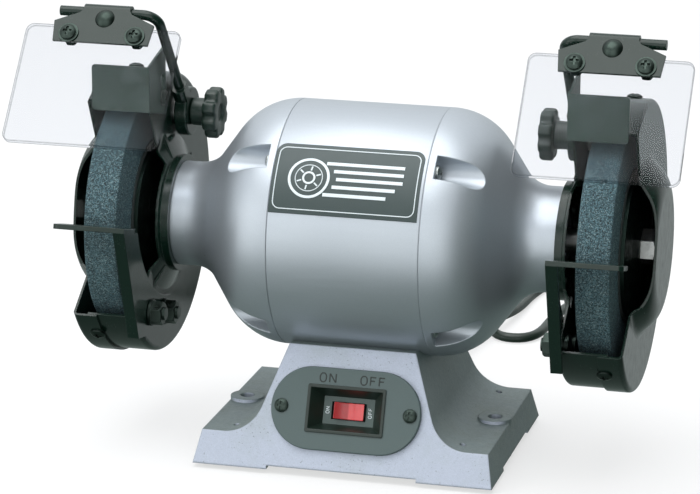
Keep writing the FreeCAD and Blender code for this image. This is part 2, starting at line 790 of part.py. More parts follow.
def inner_guard(side, word):
    name = word + "_inner_guard"
    wall = sheet_metal
    band = guard_radius
    round_out = 3.0
    round_in = round_out - wall
    step = neck_end + hub_step
    corners = [(neck_end, hub_bore), (neck_end + wall, hub_bore), (neck_end + wall, hub_radius - wall),
               (step + wall * 0.6, hub_radius - wall), (guard_face + wall, cone_radius - wall * 0.4),
               (guard_face + wall, band - round_out, round_in, -1),
               (guard_face + round_out, band - wall), (guard_band_end, band - wall),
               (guard_band_end, band), (guard_face + round_out, band, round_out, 1),
               (guard_face, band - round_out), (guard_face, cone_radius), (step, hub_radius),
               (neck_end, hub_radius)]
    shell = turned(name + "_section", corners, side)
    start = side * (float(neck_end) - 1)
    end = side * (float(guard_band_end) + 1)
    opening = solid(name + "_opening", sector(opening_low, opening_high, hub_radius + 2.5, 95.0, start, end))
    ribs = []
    for angle in (-50, 78, 150, 230):
        low = float(hub_radius) + 1
        points = [spot(side * float(guard_face + wall / 2), 0, float(rib_reach)),
                  spot(side * float(guard_face + wall / 2), 0, low),
                  spot(side * float(guard_face - rib_height), 0, low)]
        rib = Part.Face(Part.makePolygon(points + points[:1])).extrude(spot(0, 3.0, 0))
        rib.translate(spot(0, -1.5, 0))
        rib.rotate(spot(0, 0, 0), spot(1, 0, 0), 90 - angle)
        rib.translate(spot(0, 0, axis_height))
        ribs.append(rib)
    holes = []
    for (y, z), radius in ([(place, rest_bolt_radius) for place in rest_bolt_places()]
                           + [(arrestor_screw_place(), arrestor_screw_radius), (pivot_place(), pivot_radius)]
                           + [(place, 2.5) for place in hub_screw_places()]):
        holes.append(Part.makeCylinder(float(radius), 30.0, spot(side * (float(neck_end) - 5), y, z),
                                       spot(side, 0, 0)))
    holes += cover_screw_shanks(side)
    joined = fused(name + "_ribbed", [shell, solid(name + "_ribs", Part.makeCompound(ribs))])
    keep(cut(name, joined, [opening, solid(name + "_holes", Part.makeCompound(holes))]), name)


def cover_screw_shanks(side):
    made = []
    for angle in COVER_SCREW_ANGLES:
        y, z = around(angle, guard_radius - 6)
        outward = spot(0, y, z - float(axis_height))
        made.append(Part.makeCylinder(2.0, 12.0, spot(side * float(cover_screw_x()), y, z), outward))
    return made


def cover_dome(inset):
    """The four places where the cover's dome changes from flat to round to slope to round."""
    slant = math.cos(math.radians(45))
    shoulder = (cover_dome_face - cover_dome_round * (1 - slant) - inset * slant,
                cover_dome_flat + (cover_dome_round - inset) * slant)
    slope_end_x = cover_face + cover_foot_round * (1 - slant) - inset * slant
    fall = cover_dome_face - cover_face - (cover_dome_round + cover_foot_round) * (1 - slant)
    foot = cover_dome_flat + (cover_dome_round + cover_foot_round) * slant + fall
    return [(cover_dome_face - inset, cover_dome_flat), shoulder,
            (slope_end_x, foot - (cover_foot_round + inset) * slant), (cover_face - inset, foot)]


def outer_cover(side, word):
    name = word + "_outer_cover"
    wall = sheet_metal
    band = guard_radius + wall
    soft = 3.0
    inside = cover_dome(wall)
    inside = [inside[3] + (cover_foot_round + wall, 1), inside[2],
              inside[1] + (cover_dome_round - wall, -1), inside[0]]
    outside = cover_dome(0.0)
    outside = [outside[0] + (cover_dome_round, 1), outside[1],
               outside[2] + (cover_foot_round, -1), outside[3]]
    corners = [(guard_split, guard_radius), (cover_face - soft, guard_radius, soft - wall, -1),
               (cover_face - wall, band - soft)]
    corners += inside + [(cover_dome_face - wall, 0.0), (cover_dome_face, 0.0)] + outside
    corners += [(cover_face, band - soft, soft, 1), (cover_face - soft, band), (guard_split, band)]
    shell = turned(name + "_section", corners, side)
    middle = float(opening_low + opening_high) / 2 - 4
    low_reach = float(dome_chord) / math.cos(math.radians(middle - float(opening_low)))
    high_reach = float(dome_chord) / math.cos(math.radians(float(opening_high) - middle))
    places = [around(opening_low, 98.0), around(opening_low, low_reach), around(opening_high, high_reach),
              around(opening_high, 98.0), around(40, 120.0), around(0, 120.0)]
    start = side * (float(guard_split) - 2)
    wire = Part.makePolygon([spot(start, y, z) for y, z in places + places[:1]])
    opening = Part.Face(wire).extrude(spot(side * 40.0, 0, 0))
    tools = [solid(name + "_opening", opening),
             solid(name + "_holes", Part.makeCompound(cover_screw_shanks(side)))]
    keep(cut(name, shell, tools), name)


def guard_screws():
    covers = []
    hubs = []
    for side, word in SIDES:
        for angle in COVER_SCREW_ANGLES:
            y, z = around(angle, guard_radius + sheet_metal)
            screw = pan_screw(4.6, 2.6, 2.0, 5.5)
            covers.append(facing(screw, (side * float(cover_screw_x()), y, z),
                                 (0, y, z - float(axis_height))))
        for y, z in hub_screw_places():
            screw = pan_screw(4.4, 2.8, 2.5, float(sheet_metal) + 9.0)
            hubs.append(facing(screw, (side * float(neck_end + sheet_metal), y, z), (side, 0, 0)))
    keep(solid("cover_screws", Part.makeCompound(covers)), "cover_screws")
    keep(solid("hub_screws", Part.makeCompound(hubs)), "hub_screws")


# ---------------------------------------------------------------- tool rests
def rest_corner(distance, rise):
    """A (y, z) of the rest's plate: distance runs from its wheel edge to the user."""
    lean = math.radians(float(rest_lean))
    y = -float(wheel_radius) - 3.2 - distance * math.cos(lean) + rise * math.sin(lean)
    z = float(axis_height) + 9.0 + distance * math.sin(lean) + rise * math.cos(lean)
    return (y, z)


def prism(side, start, end, points):
    """A flat outline of (y, z) points, from start to end along X on one side."""
    wire = Part.makePolygon([spot(side * float(start), y, z) for y, z in points + points[:1]])
    return Part.Face(wire).extrude(spot(side * (float(end) - float(start)), 0, 0))


def tool_rest(side, word):
    thick = float(rest_thick)
    reach = float(rest_depth)
    outer = float(guard_face - running_gap)
    inner = outer - float(arm_thick)
    plate = prism(side, inner, rest_end, [rest_corner(0, 0), rest_corner(reach, 0),
                                          rest_corner(reach, -thick), rest_corner(0, -thick)])
    ends = [edge for edge in plate.Edges
            if abs(edge.Length - thick) < 0.01 and abs(abs(edge.CenterOfMass.x) - float(rest_end)) < 0.1]
    plate = plate.makeFillet(4.0, ends)
    top_front = rest_corner(reach, -thick)
    foot_front = (13.0 - float(guard_radius), float(axis_height - guard_radius) + 25.4)
    half = float(slot_half)
    lean = math.radians(float(rest_lean))
    drop = (half * math.sin(lean), half * math.cos(lean))
    mouth = along_rest(41.0)
    closed = along_rest(-3.0)
    upper_mouth = (mouth[0] + drop[0], mouth[1] + drop[1])
    lower_mouth = (mouth[0] - drop[0], mouth[1] - drop[1])
    lip_top = (upper_mouth[0], upper_mouth[1] + 6.5)
    lip_foot = (lower_mouth[0], lower_mouth[1] - 6.5)
    throat = (rest_corner(0, -thick)[0] + 6.0, rest_corner(0, -thick)[1] - 1.0)
    outline_edges = []
    straight = [throat, top_front, foot_front, lip_foot, lower_mouth, upper_mouth, lip_top]
    for first, second in zip(straight[:-1], straight[1:]):
        outline_edges.append(Part.LineSegment(spot(0, *first), spot(0, *second)).toShape())
    hollow = (-50.0, float(axis_height) - 31.5)
    outline_edges.append(Part.Arc(spot(0, *lip_top), spot(0, *hollow), spot(0, *throat)).toShape())
    blank = Part.Face(Part.Wire(Part.__sortEdges__(outline_edges)))
    arm = blank.extrude(spot(side * float(arm_thick), 0, 0))
    arm.translate(spot(side * inner, 0, 0))
    slot = prism(side, inner - 1, outer + 1, [
        (closed[0] + drop[0], closed[1] + drop[1]), (closed[0] - drop[0], closed[1] - drop[1]),
        (lower_mouth[0] + 3 * math.cos(lean), lower_mouth[1] - 3 * math.sin(lean)),
        (upper_mouth[0] + 3 * math.cos(lean), upper_mouth[1] - 3 * math.sin(lean))])
    slot_end = Part.makeCylinder(half, float(arm_thick) + 2, spot(side * (inner - 1), *closed),
                                 spot(side, 0, 0))
    edge_y = float(foot_front[0]) - top_front[0]
    edge_z = foot_front[1] - top_front[1]
    long_way = math.hypot(edge_y, edge_z)
    inward = (-edge_z / long_way * float(arm_thick), edge_y / long_way * float(arm_thick))
    flange = prism(side, inner, inner + float(arm_return), [
        top_front, foot_front, (foot_front[0] + inward[0], foot_front[1] + inward[1]),
        (top_front[0] + inward[0], top_front[1] + inward[1])])
    name = word + "_tool_rest"
    made = plate.fuse(arm).fuse(flange).cut(slot.fuse(slot_end)).removeSplitter()
    keep(solid(name, made), name)


def rest_fasteners():
    made = []
    inner = float(guard_face - running_gap - arm_thick - running_gap)
    for side, word in SIDES:
        for y, z in rest_bolt_places():
            head = Part.makeCylinder(7.5, 2.6, spot(0, 0, 0), spot(side, 0, 0))
            head.translate(spot(side * float(guard_face + sheet_metal), y, z))
            length = float(guard_face + sheet_metal) - inner + 9.6
            shank = Part.makeCylinder(float(rest_bolt_radius), length,
                                      spot(side * (inner - 9.6), y, z), spot(side, 0, 0))
            washer = Part.makeCylinder(8.0, 1.6, spot(side * inner, y, z), spot(-side, 0, 0))
            nut = facing(hexagon(rest_bolt_flats, 6.5), (side * (inner - 1.6), y, z), (-side, 0, 0))
            made.append(head.fuse(shank).fuse(washer).fuse(nut).removeSplitter())
    keep(solid("tool_rest_bolts", Part.makeCompound(made)), "tool_rest_bolts")


# ---------------------------------------------------------------- spark arrestors
def spark_arrestor(side, word):
    name = word + "_spark_arrestor"
    outer = float(guard_face - running_gap)
    inner = outer - float(sheet_metal)
    front = float(arrestor_y)
    low = float(axis_height + arrestor_low)
    high = float(axis_height + arrestor_high)
    back = front + float(arrestor_depth)
    plate = prism(side, inner, inner + float(arrestor_width), [
        (front, low), (front, high), (front - float(sheet_metal), high), (front - float(sheet_metal), low)])
    corners = [edge for edge in plate.Edges if abs(edge.Length - float(sheet_metal)) < 0.01
               and abs(edge.CenterOfMass.x) > inner + 5]
    plate = plate.makeFillet(2.0, corners)
    flange = prism(side, inner, outer, [(front - float(sheet_metal), low), (back, low - 7.0),
                                        (back, high + 7.5), (front - float(sheet_metal), high)])
    y, z = arrestor_screw_place()
    radius = float(arrestor_screw_radius) + 0.25
    slot = prism(side, inner - 1, outer + 1, [(y - radius, z - 2.2), (y + radius, z - 2.2),
                                              (y + radius, z + 12.0), (y - radius, z + 12.0)])
    for level in (z - 2.2, z + 12.0):
        slot = slot.fuse(Part.makeCylinder(radius, float(sheet_metal) + 2,
                                           spot(side * (inner - 1), y, level), spot(side, 0, 0)))
    keep(solid(name, plate.fuse(flange).cut(slot).removeSplitter()), name)


def arrestor_screws():
    made = []
    y, z = arrestor_screw_place()
    inner = float(guard_face - running_gap - sheet_metal - running_gap)
    for side, word in SIDES:
        length = float(guard_face + sheet_metal) - inner + 4.0
        screw = pan_screw(4.7, 3.0, arrestor_screw_radius, length)
        screw = facing(screw, (side * inner, y, z), (-side, 0, 0))
        nut = facing(hexagon(8.0, 4.0), (side * float(guard_face + sheet_metal), y, z), (side, 0, 0))
        made.append(screw.fuse(nut).removeSplitter())
    keep(solid("arrestor_screws", Part.makeCompound(made)), "arrestor_screws")


# ---------------------------------------------------------------- eye shields
def tube_along(points, radius, bend):
    """A round bar with one bend, along three points."""
    first, corner, last = [spot(*point) for point in points]
    toward = (first - corner).normalize()
    away = (last - corner).normalize()
    half_turn = (math.pi - toward.getAngle(away)) / 2
    tangent = float(bend) * math.tan(half_turn)
    start = corner + toward * tangent
    end = corner + away * tangent
    inward = (toward + away).normalize()
    to_centre = float(bend) / math.cos(half_turn)
    through = corner + inward * (to_centre - float(bend))
    wire = Part.Wire([Part.LineSegment(first, start).toShape(), Part.Arc(start, through, end).toShape(),
                      Part.LineSegment(end, last).toShape()])
    ring = Part.Wire(Part.makeCircle(float(radius), first, first - start))
    return wire.makePipeShell([ring], True, False)


def shield_arm(side, word):
    name = word + "_shield_arm"
    rod_x = side * float(eye_inner + eye_outer) / 2
    y, z = pivot_place()
    corner = (rod_x, float(rod_y), float(axis_height + rod_rise))
    leg = spot(0, y, z) - spot(0, corner[1], corner[2])
    stop = spot(0, y, z) - leg.normalize() * 9.0
    free_end = (side * float(rod_end), corner[1], corner[2])
    rod = tube_along([free_end, corner, (rod_x, stop.y, stop.z)], rod_radius, rod_bend)
    thick = float(eye_outer - eye_inner)
    eye = Part.makeCylinder(float(eye_radius), thick, spot(side * float(eye_inner), y, z), spot(side, 0, 0))
    eye = eye.makeFillet(1.2, [edge for edge in eye.Edges if edge.Closed])
    collar = Part.makeCylinder(5.5, 14.0, spot(rod_x, y, z) - leg * 24.0, leg)
    limit = Part.makeBox(thick, 80.0, 80.0, spot(min(side * float(eye_inner), side * float(eye_outer)),
                                                y - 40, z - 40))
    bore = Part.makeCylinder(float(pivot_radius + pin_clearance), thick + 2,
                             spot(side * (float(eye_inner) - 1), y, z), spot(side, 0, 0))
    keep(solid(name, rod.fuse(eye).fuse(collar.common(limit)).cut(bore).removeSplitter()), name)


def shield_pivots():
    """The fixed studs that the shield arms turn on, with the washers between eye and guard."""
    made = []
    y, z = pivot_place()
    for side, word in SIDES:
        start = float(knob_face) + 4
        stud = Part.makeCylinder(float(pivot_radius), float(guard_face + sheet_metal) - start,
                                 spot(side * start, y, z), spot(side, 0, 0))
        head = Part.makeCylinder(8.0, 2.4, spot(side * float(guard_face + sheet_metal), y, z),
                                 spot(side, 0, 0))
        washer = Part.makeCylinder(9.0, float(guard_face - eye_outer - running_gap),
                                   spot(side * float(eye_outer + running_gap), y, z), spot(side, 0, 0))
        made.append(stud.fuse(head).fuse(washer).removeSplitter())
    keep(solid("shield_pivots", Part.makeCompound(made)), "shield_pivots")


def shield_knob(side, word):
    name = word + "_shield_knob"
    y, z = pivot_place()
    disc = Part.makeCylinder(float(knob_radius), float(knob_thick))
    disc = disc.makeFillet(1.4, [edge for edge in disc.Edges if edge.Closed])
    notches = []
    for index in range(8):
        angle = math.radians(45 * index)
        reach = float(knob_radius) + 0.6
        notches.append(Part.makeCylinder(3.0, float(knob_thick) + 2,
                                         spot(reach * math.cos(angle), reach * math.sin(angle), -1)))
    hub_end = float(eye_inner - running_gap) - float(knob_face)
    hub = Part.makeCylinder(float(knob_hub_radius), hub_end)
    bore = Part.makeCylinder(float(pivot_radius + pin_clearance), hub_end, spot(0, 0, 3.0))
    knob = disc.cut(Part.makeCompound(notches)).fuse(hub).cut(bore).removeSplitter()
    keep(solid(name, facing(knob, (side * float(knob_face), y, z), (side, 0, 0))), name)


def shield_frame():
    """Place of the shield's own axes: X across, Y up the sheet, Z out of its front face."""
    lean = math.radians(float(shield_lean))
    up = (math.sin(lean), math.cos(lean))
    out = (-math.cos(lean), math.sin(lean))
    to_rod = float(shield_height) / 2 + float(shield_drop)
    behind = float(shield_thick) / 2 - float(rod_radius) - float(running_gap)
    y = float(rod_y) - to_rod * up[0] - behind * out[0]
    z = float(axis_height + rod_rise) - to_rod * up[1] - behind * out[1]
    return y, z


def on_shield(shape, side):
    y, z = shield_frame()
    moved = shape.copy()
    hung = FreeCAD.Placement(spot(side * float(shield_centre), y, z),
                             FreeCAD.Rotation(spot(1, 0, 0), 90 - float(shield_lean)))
    moved.Placement = hung.multiply(shape.Placement)
    return moved


def shield_screw_places():
    half = float(bracket_screw_spacing) / 2
    level = float(shield_height) / 2 - 6.0
    return [(-half, level), (half, level)]


def eye_shield(side, word):
    name = word + "_eye_shield"
    width = float(shield_width)
    height = float(shield_height)
    thick = float(shield_thick)
    sheet_blank = Part.makeBox(width, height, thick, spot(-width / 2, -height / 2, -thick / 2))
    upright = [edge for edge in sheet_blank.Edges if abs(edge.Length - thick) < 0.01]
    sheet_blank = sheet_blank.makeFillet(float(shield_corner), upright)
    for x, level in shield_screw_places():
        sheet_blank = sheet_blank.cut(Part.makeCylinder(2.4, 10.0, spot(x, level, -5)))
    keep(solid(name, on_shield(sheet_blank, side)), name)


def shield_bracket(side, word):
    name = word + "_shield_bracket"
    top = float(shield_height) / 2 + float(shield_drop)
    low = float(shield_height) / 2 - 11.5
    wide = float(bracket_width) / 2
    tab = float(bracket_tab_width) / 2
    front = float(shield_thick) / 2
    thick = float(bracket_thick)
    points = [(-wide + 1.5, low), (wide - 1.5, low), (wide, low + 13.5), (tab + 1.5, low + 20.0),
              (tab, low + 22.5), (tab, top), (-tab, top), (-tab, low + 22.5), (-tab - 1.5, low + 20.0),
              (-wide, low + 13.5)]
    wire = Part.makePolygon([spot(x, y, front) for x, y in points + points[:1]])
    plate = Part.Face(wire).extrude(spot(0, 0, thick))
    rod_behind = front - float(rod_radius) - float(running_gap)
    inner = float(rod_radius + running_gap)
    ring = Part.makeCylinder(inner + thick, 2 * tab, spot(-tab, top, rod_behind), spot(1, 0, 0))
    hollow = Part.makeCylinder(inner, 2 * tab, spot(-tab, top, rod_behind), spot(1, 0, 0))
    keep_top = Part.makeBox(2 * tab, 2 * inner + 6, 4 * inner, spot(-tab, top, rod_behind - 2 * inner))
    tail = Part.makeBox(2 * tab, inner + 6, inner + 4, spot(-tab, top - 2.0, rod_behind - inner - 4))
    lip = ring.cut(hollow).common(keep_top.fuse(tail))
    made = plate.fuse(lip)
    for x, level in shield_screw_places():
        made = made.cut(Part.makeCylinder(2.4, 10.0, spot(x, level, -5)))
    keep(solid(name, on_shield(made.removeSplitter(), side)), name)


def shield_screws(side, word):
    name = word + "_shield_screws"
    front = float(shield_thick) / 2 + float(bracket_thick)
    made = []
    for x, level in shield_screw_places():
        washer = Part.makeCylinder(6.2, 0.9, spot(x, level, front))
        screw = pan_screw(4.8, 3.0, 2.4, float(shield_thick + bracket_thick) + 5.5)
        screw.translate(spot(x, level, front + 0.9))
        nut = hexagon(8.0, 4.0)
        nut.rotate(spot(0, 0, 0), spot(1, 0, 0), 180)
        nut.translate(spot(x, level, -float(shield_thick) / 2))
        made.append(on_shield(screw.fuse(washer).fuse(nut).removeSplitter(), side))
    rivet_level = float(shield_height) / 2 + float(shield_drop) - 6.4
    ball = 7.4
    dome = Part.makeSphere(ball, spot(0, rivet_level, front + 3.0 - ball))
    dome = dome.common(Part.makeBox(20.0, 20.0, 6.0, spot(-10, rivet_level - 10, front)))
    made.append(on_shield(dome, side))
    keep(solid(name, Part.makeCompound(made)), name)


# ---------------------------------------------------------------- base
def wall_at(level):
    """Half the base's depth at a height, from the lean of its front and back."""
    return float(base_depth) / 2 - (level - float(base_lift)) * math.tan(math.radians(float(base_lean)))


def side_prism(name, low, high, inset, width):
    """The base seen from the side, run along X, with its walls moved in by inset."""
    slope = math.tan(math.radians(float(base_lean)))
    foot = base_depth / 2 - (low - base_lift) * slope - inset
    top = base_depth / 2 - (high - base_lift) * slope - inset
    corners = [(-foot, low), (foot, low), (top, high), (-top, high)]
    return padded(name, "YZ_Plane", corners, -width / 2, width)


def foot_places():
    return [(x * float(foot_x), y * float(foot_y)) for x in (-1, 1) for y in (-1, 1)]


def bench_places():
    return [(side * float(bench_bolt_spacing) / 2, 0.0) for side in (-1, 1)]


def both_sides(right):
    """Close an outline from its right half, drawn bottom to top, by mirroring it in X."""
    left = []
    for index in range(len(right) - 1, -1, -1):
        arc = tuple(right[index - 1][2:]) if index > 0 else ()
        left.append((-right[index][0], right[index][1]) + arc)
    return right[:-1] + [right[-1][:2]] + left


def base_casting():
    lean = math.radians(float(base_side_lean))
    slope = math.tan(lean)
    top = axis_height - base_top_drop
    waist = base_top_width / 2
    shoulder_z = base_flange_top + base_waist_radius * (1 - math.sin(lean))
    shoulder_x = waist + (top - shoulder_z) * slope
    root_x = shoulder_x + base_waist_radius * math.cos(lean)
    right = [(base_width / 2, base_lift), (base_flange_width / 2, base_flange_top),
             (root_x, base_flange_top, base_waist_radius, -1), (shoulder_x, shoulder_z), (waist, top)]
    front = padded("base_front_view", "XZ_Plane", both_sides(right), -base_depth / 2, base_depth)
    side = side_prism("base_side_view", base_lift, top, 0.0, base_width)
    block = common("base_block", front, side)
    skirt = base_flange_top - base_roof
    hollow = [(base_width / 2 - 6, base_lift), (base_flange_width / 2 - 5, skirt), (root_x - 12, skirt),
              (shoulder_x - 3.5, shoulder_z - 5), (waist - 3, cavity_roof())]
    cavity_front = padded("cavity_front_view", "XZ_Plane", both_sides(hollow), -base_depth / 2, base_depth)
    cavity_side = side_prism("cavity_side_view", base_lift, cavity_roof(), base_wall, base_width)
    cavity = common("base_cavity", cavity_front, cavity_side)
    saddle = cylinder("base_saddle", shell_radius, base_width, (-base_width / 2, 0, axis_height), (1, 0, 0))
    reliefs = [box("front_relief", base_relief_width, base_depth, base_relief,
                   (-base_relief_width / 2, -base_depth / 2, base_lift)),
               box("side_relief", base_width, base_relief_width * 0.8, base_relief,
                   (-base_width / 2, -base_relief_width * 0.4, base_lift))]
    hollowed = cut("hollow_casting", block, [cavity, saddle] + reliefs)
    columns = []
    holes = []
    under_plate = plate_level + sheet_metal
    for index, (x, y) in enumerate(foot_places()):
        columns.append(cylinder("foot_column_" + str(index), 8.0, base_flange_top - under_plate - 1,
                                (x, y, under_plate)))
        holes.append(cylinder("foot_screw_hole_" + str(index), foot_screw_radius, 30.0, (x, y, 0.0)))
    for index, (x, y) in enumerate(bench_places()):
        columns.append(cylinder("bench_boss_" + str(index), bench_boss_radius,
                                base_flange_top + bench_boss_rise, (x, y, 0.0)))
        holes.append(cylinder("bench_hole_" + str(index), bench_hole_radius, 40.0, (x, y, 0.0)))
    joined = fused("base_with_bosses", [hollowed] + columns)
    window = box_solid(opening_half_width(), opening_half_height(), -12.0, 12.0)
    switch_holes = [Part.makeCylinder(2.0, 12.0, spot(x, 0, -12.0)) for x in switch_screw_places()]
    tools = [on_front(shape) for shape in [window] + switch_holes] + saddle_bolt_shanks(0.0)
    gland_start = spot(gland_x, 30.0, gland_level)
    tools.append(Part.makeCylinder(float(gland_radius), 60.0, gland_start, spot(0, 1, 0)))
    openings = solid("base_openings", Part.makeCompound(tools))
    keep(cut("base_casting", joined, holes + [openings]), "base_casting")


def common(name, first, second):
    made = doc.addObject("Part::Common", name)
    made.Base = first
    made.Tool = second
    return made


def base_plate():
    under = float(plate_level)
    top = under + float(sheet_metal)
    half_x = float(base_width) / 2 - 8.0
    half_y = wall_at(top) - float(base_wall) - 0.6
    plate = Part.makeBox(2 * half_x, 2 * half_y, float(sheet_metal), spot(-half_x, -half_y, under))
    room = float(bench_boss_radius) + 0.6
    ear = 14.0
    for x, y in bench_places():
        plate = plate.cut(Part.makeCylinder(room, 10.0, spot(x, y, under - 4)))
        ear_start = x if x > 0 else x - ear
        plate = plate.cut(Part.makeBox(ear, 2 * room, 10.0, spot(ear_start, -room, under - 4)))
    for x, y in foot_places():
        plate = plate.cut(Part.makeCylinder(float(foot_screw_radius), 10.0, spot(x, y, under - 4)))
    for x in (-50.0, 50.0):
        for y in (-30.0, 0.0, 30.0):
            slot = Part.makeBox(16.0, 4.0, 10.0, spot(x - 8, y - 2, under - 4))
            plate = plate.cut(slot)
    keep(solid("base_plate", plate), "base_plate")


def feet():
    rubbers = []
    screws = []
    seat = 3.5
    for x, y in foot_places():
        foot = Part.makeCone(float(foot_radius) - 1.0, float(foot_radius), float(plate_level))
        foot = foot.cut(Part.makeCylinder(float(foot_screw_radius), 20.0))
        foot = foot.cut(Part.makeCylinder(5.4, seat))
        foot.translate(spot(x, y, 0))
        rubbers.append(foot)
        screw = pan_screw(4.6, 2.4, foot_screw_radius, 13.0)
        screws.append(facing(screw, (x, y, seat), (0, 0, -1)))
    keep(solid("rubber_feet", Part.makeCompound(rubbers)), "rubber_feet")
    keep(solid("foot_screws", Part.makeCompound(screws)), "foot_screws")


def saddle_bolts():
    made = []
    roof = float(cavity_roof())
    for side, word in SIDES:
        head = facing(hexagon(10.0, 4.0), (24.0 * side, 0, roof), (0, 0, -1))
        made.append(head)
    bolts = [head.fuse(shank).removeSplitter() for head, shank in zip(made, saddle_bolt_shanks(0.0))]
    keep(solid("saddle_bolts", Part.makeCompound(bolts)), "saddle_bolts")


# ---------------------------------------------------------------- switch
def on_front(shape):
    """Move a shape from the switch's own axes (Z straight out of the sloping front) to its place."""
    moved = shape.copy()
    front = FreeCAD.Placement(spot(0, -wall_at(float(switch_level)), switch_level),
                              FreeCAD.Rotation(spot(1, 0, 0), 90 - float(base_lean)))
    moved.Placement = front.multiply(shape.Placement)
    return moved


def box_solid(half_x, half_y, low, high):
    return Part.makeBox(2 * half_x, 2 * half_y, high - low, spot(-half_x, -half_y, low))


def opening_half_width():
    return float(bezel_width) / 2 - 1.0


def opening_half_height():
    return float(bezel_height) / 2 - 1.0


def switch_screw_places():
    half = float(switch_screw_spacing) / 2
    return [-half, half]


def switch_plate():
    thick = float(switch_plate_thick)
    end = float(switch_plate_height) / 2
    straight = float(switch_plate_width) / 2 - end
    plate = Part.makeBox(2 * straight, 2 * end, thick, spot(-straight, -end, 0))
    for x in (-straight, straight):
        plate = plate.fuse(Part.makeCylinder(end, thick, spot(x, 0, 0)))
    plate = plate.removeSplitter()
    rim = [edge for edge in plate.Edges if abs(edge.CenterOfMass.z - thick) < 0.01]
    plate = plate.makeFillet(0.8, rim)
    plate = plate.cut(box_solid(opening_half_width(), opening_half_height(), -1.0, thick + 1))
    for x in switch_screw_places():
        plate = plate.cut(Part.makeCylinder(2.0, thick + 2, spot(x, 0, -1)))
    keep(solid("switch_plate", on_front(plate)), "switch_plate")
    screws = []
    for x in switch_screw_places():
        screw = pan_screw(4.2, 2.2, 2.0, thick + 7.0)
        screw.translate(spot(x, 0, thick))
        screws.append(on_front(screw))
    keep(solid("switch_plate_screws", Part.makeCompound(screws)), "switch_plate_screws")


def frustum(bottom, top, low, high):
    """A four-sided block between two rectangles given as (half width, half height)."""
    rings = []
    for (half_x, half_y), level in ((bottom, low), (top, high)):
        ring = [spot(-half_x, -half_y, level), spot(half_x, -half_y, level), spot(half_x, half_y, level),
                spot(-half_x, half_y, level)]
        rings.append(Part.makePolygon(ring + ring[:1]))
    return Part.makeLoft(rings, True, True)


def switch_bezel():
    low = -float(bezel_recess) + float(switch_plate_thick)
    face = float(switch_plate_thick)
    rim = 0.9
    inner_low = (float(switch_width) / 2 - 1.0, float(switch_height) / 2 - 1.0)
    inner_top = (opening_half_width() - 1.4, opening_half_height() - 1.4)
    outer_low = (inner_low[0] + 1.3, inner_low[1] + 1.3)
    outer_top = (opening_half_width(), opening_half_height())
    funnel = frustum(outer_low, outer_top, low, face)
    flange = box_solid(float(bezel_width) / 2, float(bezel_height) / 2, face, face + rim)
    top_edges = [edge for edge in flange.Edges if abs(edge.Length - rim) < 0.01]
    flange = flange.makeFillet(1.2, top_edges)
    steep = (inner_top[0] + (inner_top[0] - inner_low[0]) * rim / (face - low),
             inner_top[1] + (inner_top[1] - inner_low[1]) * rim / (face - low))
    bore = frustum(inner_low, steep, low, face + rim)
    keep(solid("switch_bezel", on_front(funnel.fuse(flange).cut(bore).removeSplitter())), "switch_bezel")


def rocker_pivot():
    return -float(bezel_recess) + float(switch_plate_thick) - 2.0


def switch_body():
    top = -float(bezel_recess) + float(switch_plate_thick)
    low = top - float(switch_depth)
    pivot = rocker_pivot()
    body = box_solid(float(switch_width) / 2, float(switch_height) / 2, low, top)
    body = body.cut(box_solid(10.6, float(rocker_width) / 2 + 0.3, pivot - 9.0, top + 1))
    body = body.cut(Part.makeCylinder(1.5 + float(pin_clearance), float(rocker_width) + 3.6,
                                      spot(0, -float(rocker_width) / 2 - 1.8, pivot), spot(0, 1, 0)))
    keep(solid("switch_body", on_front(body)), "switch_body")
    blades = []
    for x in (-10.0, 0.0, 10.0):
        blades.append(on_front(box_at(x, 0.0, 0.4, 3.15, low - 8.0, low)))
    keep(solid("switch_blades", Part.makeCompound(blades)), "switch_blades")


def box_at(x, y, half_x, half_y, low, high):
    made = box_solid(half_x, half_y, low, high)
    made.translate(spot(x, y, 0))
    return made


def switch_rocker():
    half = float(rocker_width) / 2
    points = [(-9.1, 5.7), (-4.5, 4.0), (0.0, 3.3), (4.5, 4.0), (9.1, 5.7), (7.6, -1.0), (3.0, -3.2),
              (-3.0, -3.2), (-7.6, -1.0)]
    wire = Part.makePolygon([spot(x, -half, z) for x, z in points + points[:1]])
    rocker = Part.Face(wire).extrude(spot(0, 2 * half, 0))
    pins = Part.makeCylinder(1.5, 2 * half + 3.0, spot(0, -half - 1.5, 0), spot(0, 1, 0))
    rocker = rocker.fuse(pins).removeSplitter()
    rocker.rotate(spot(0, 0, 0), spot(0, 1, 0), float(rocker_tilt))
    rocker.translate(spot(0, 0, rocker_pivot()))
    keep(solid("switch_rocker", on_front(rocker)), "switch_rocker")


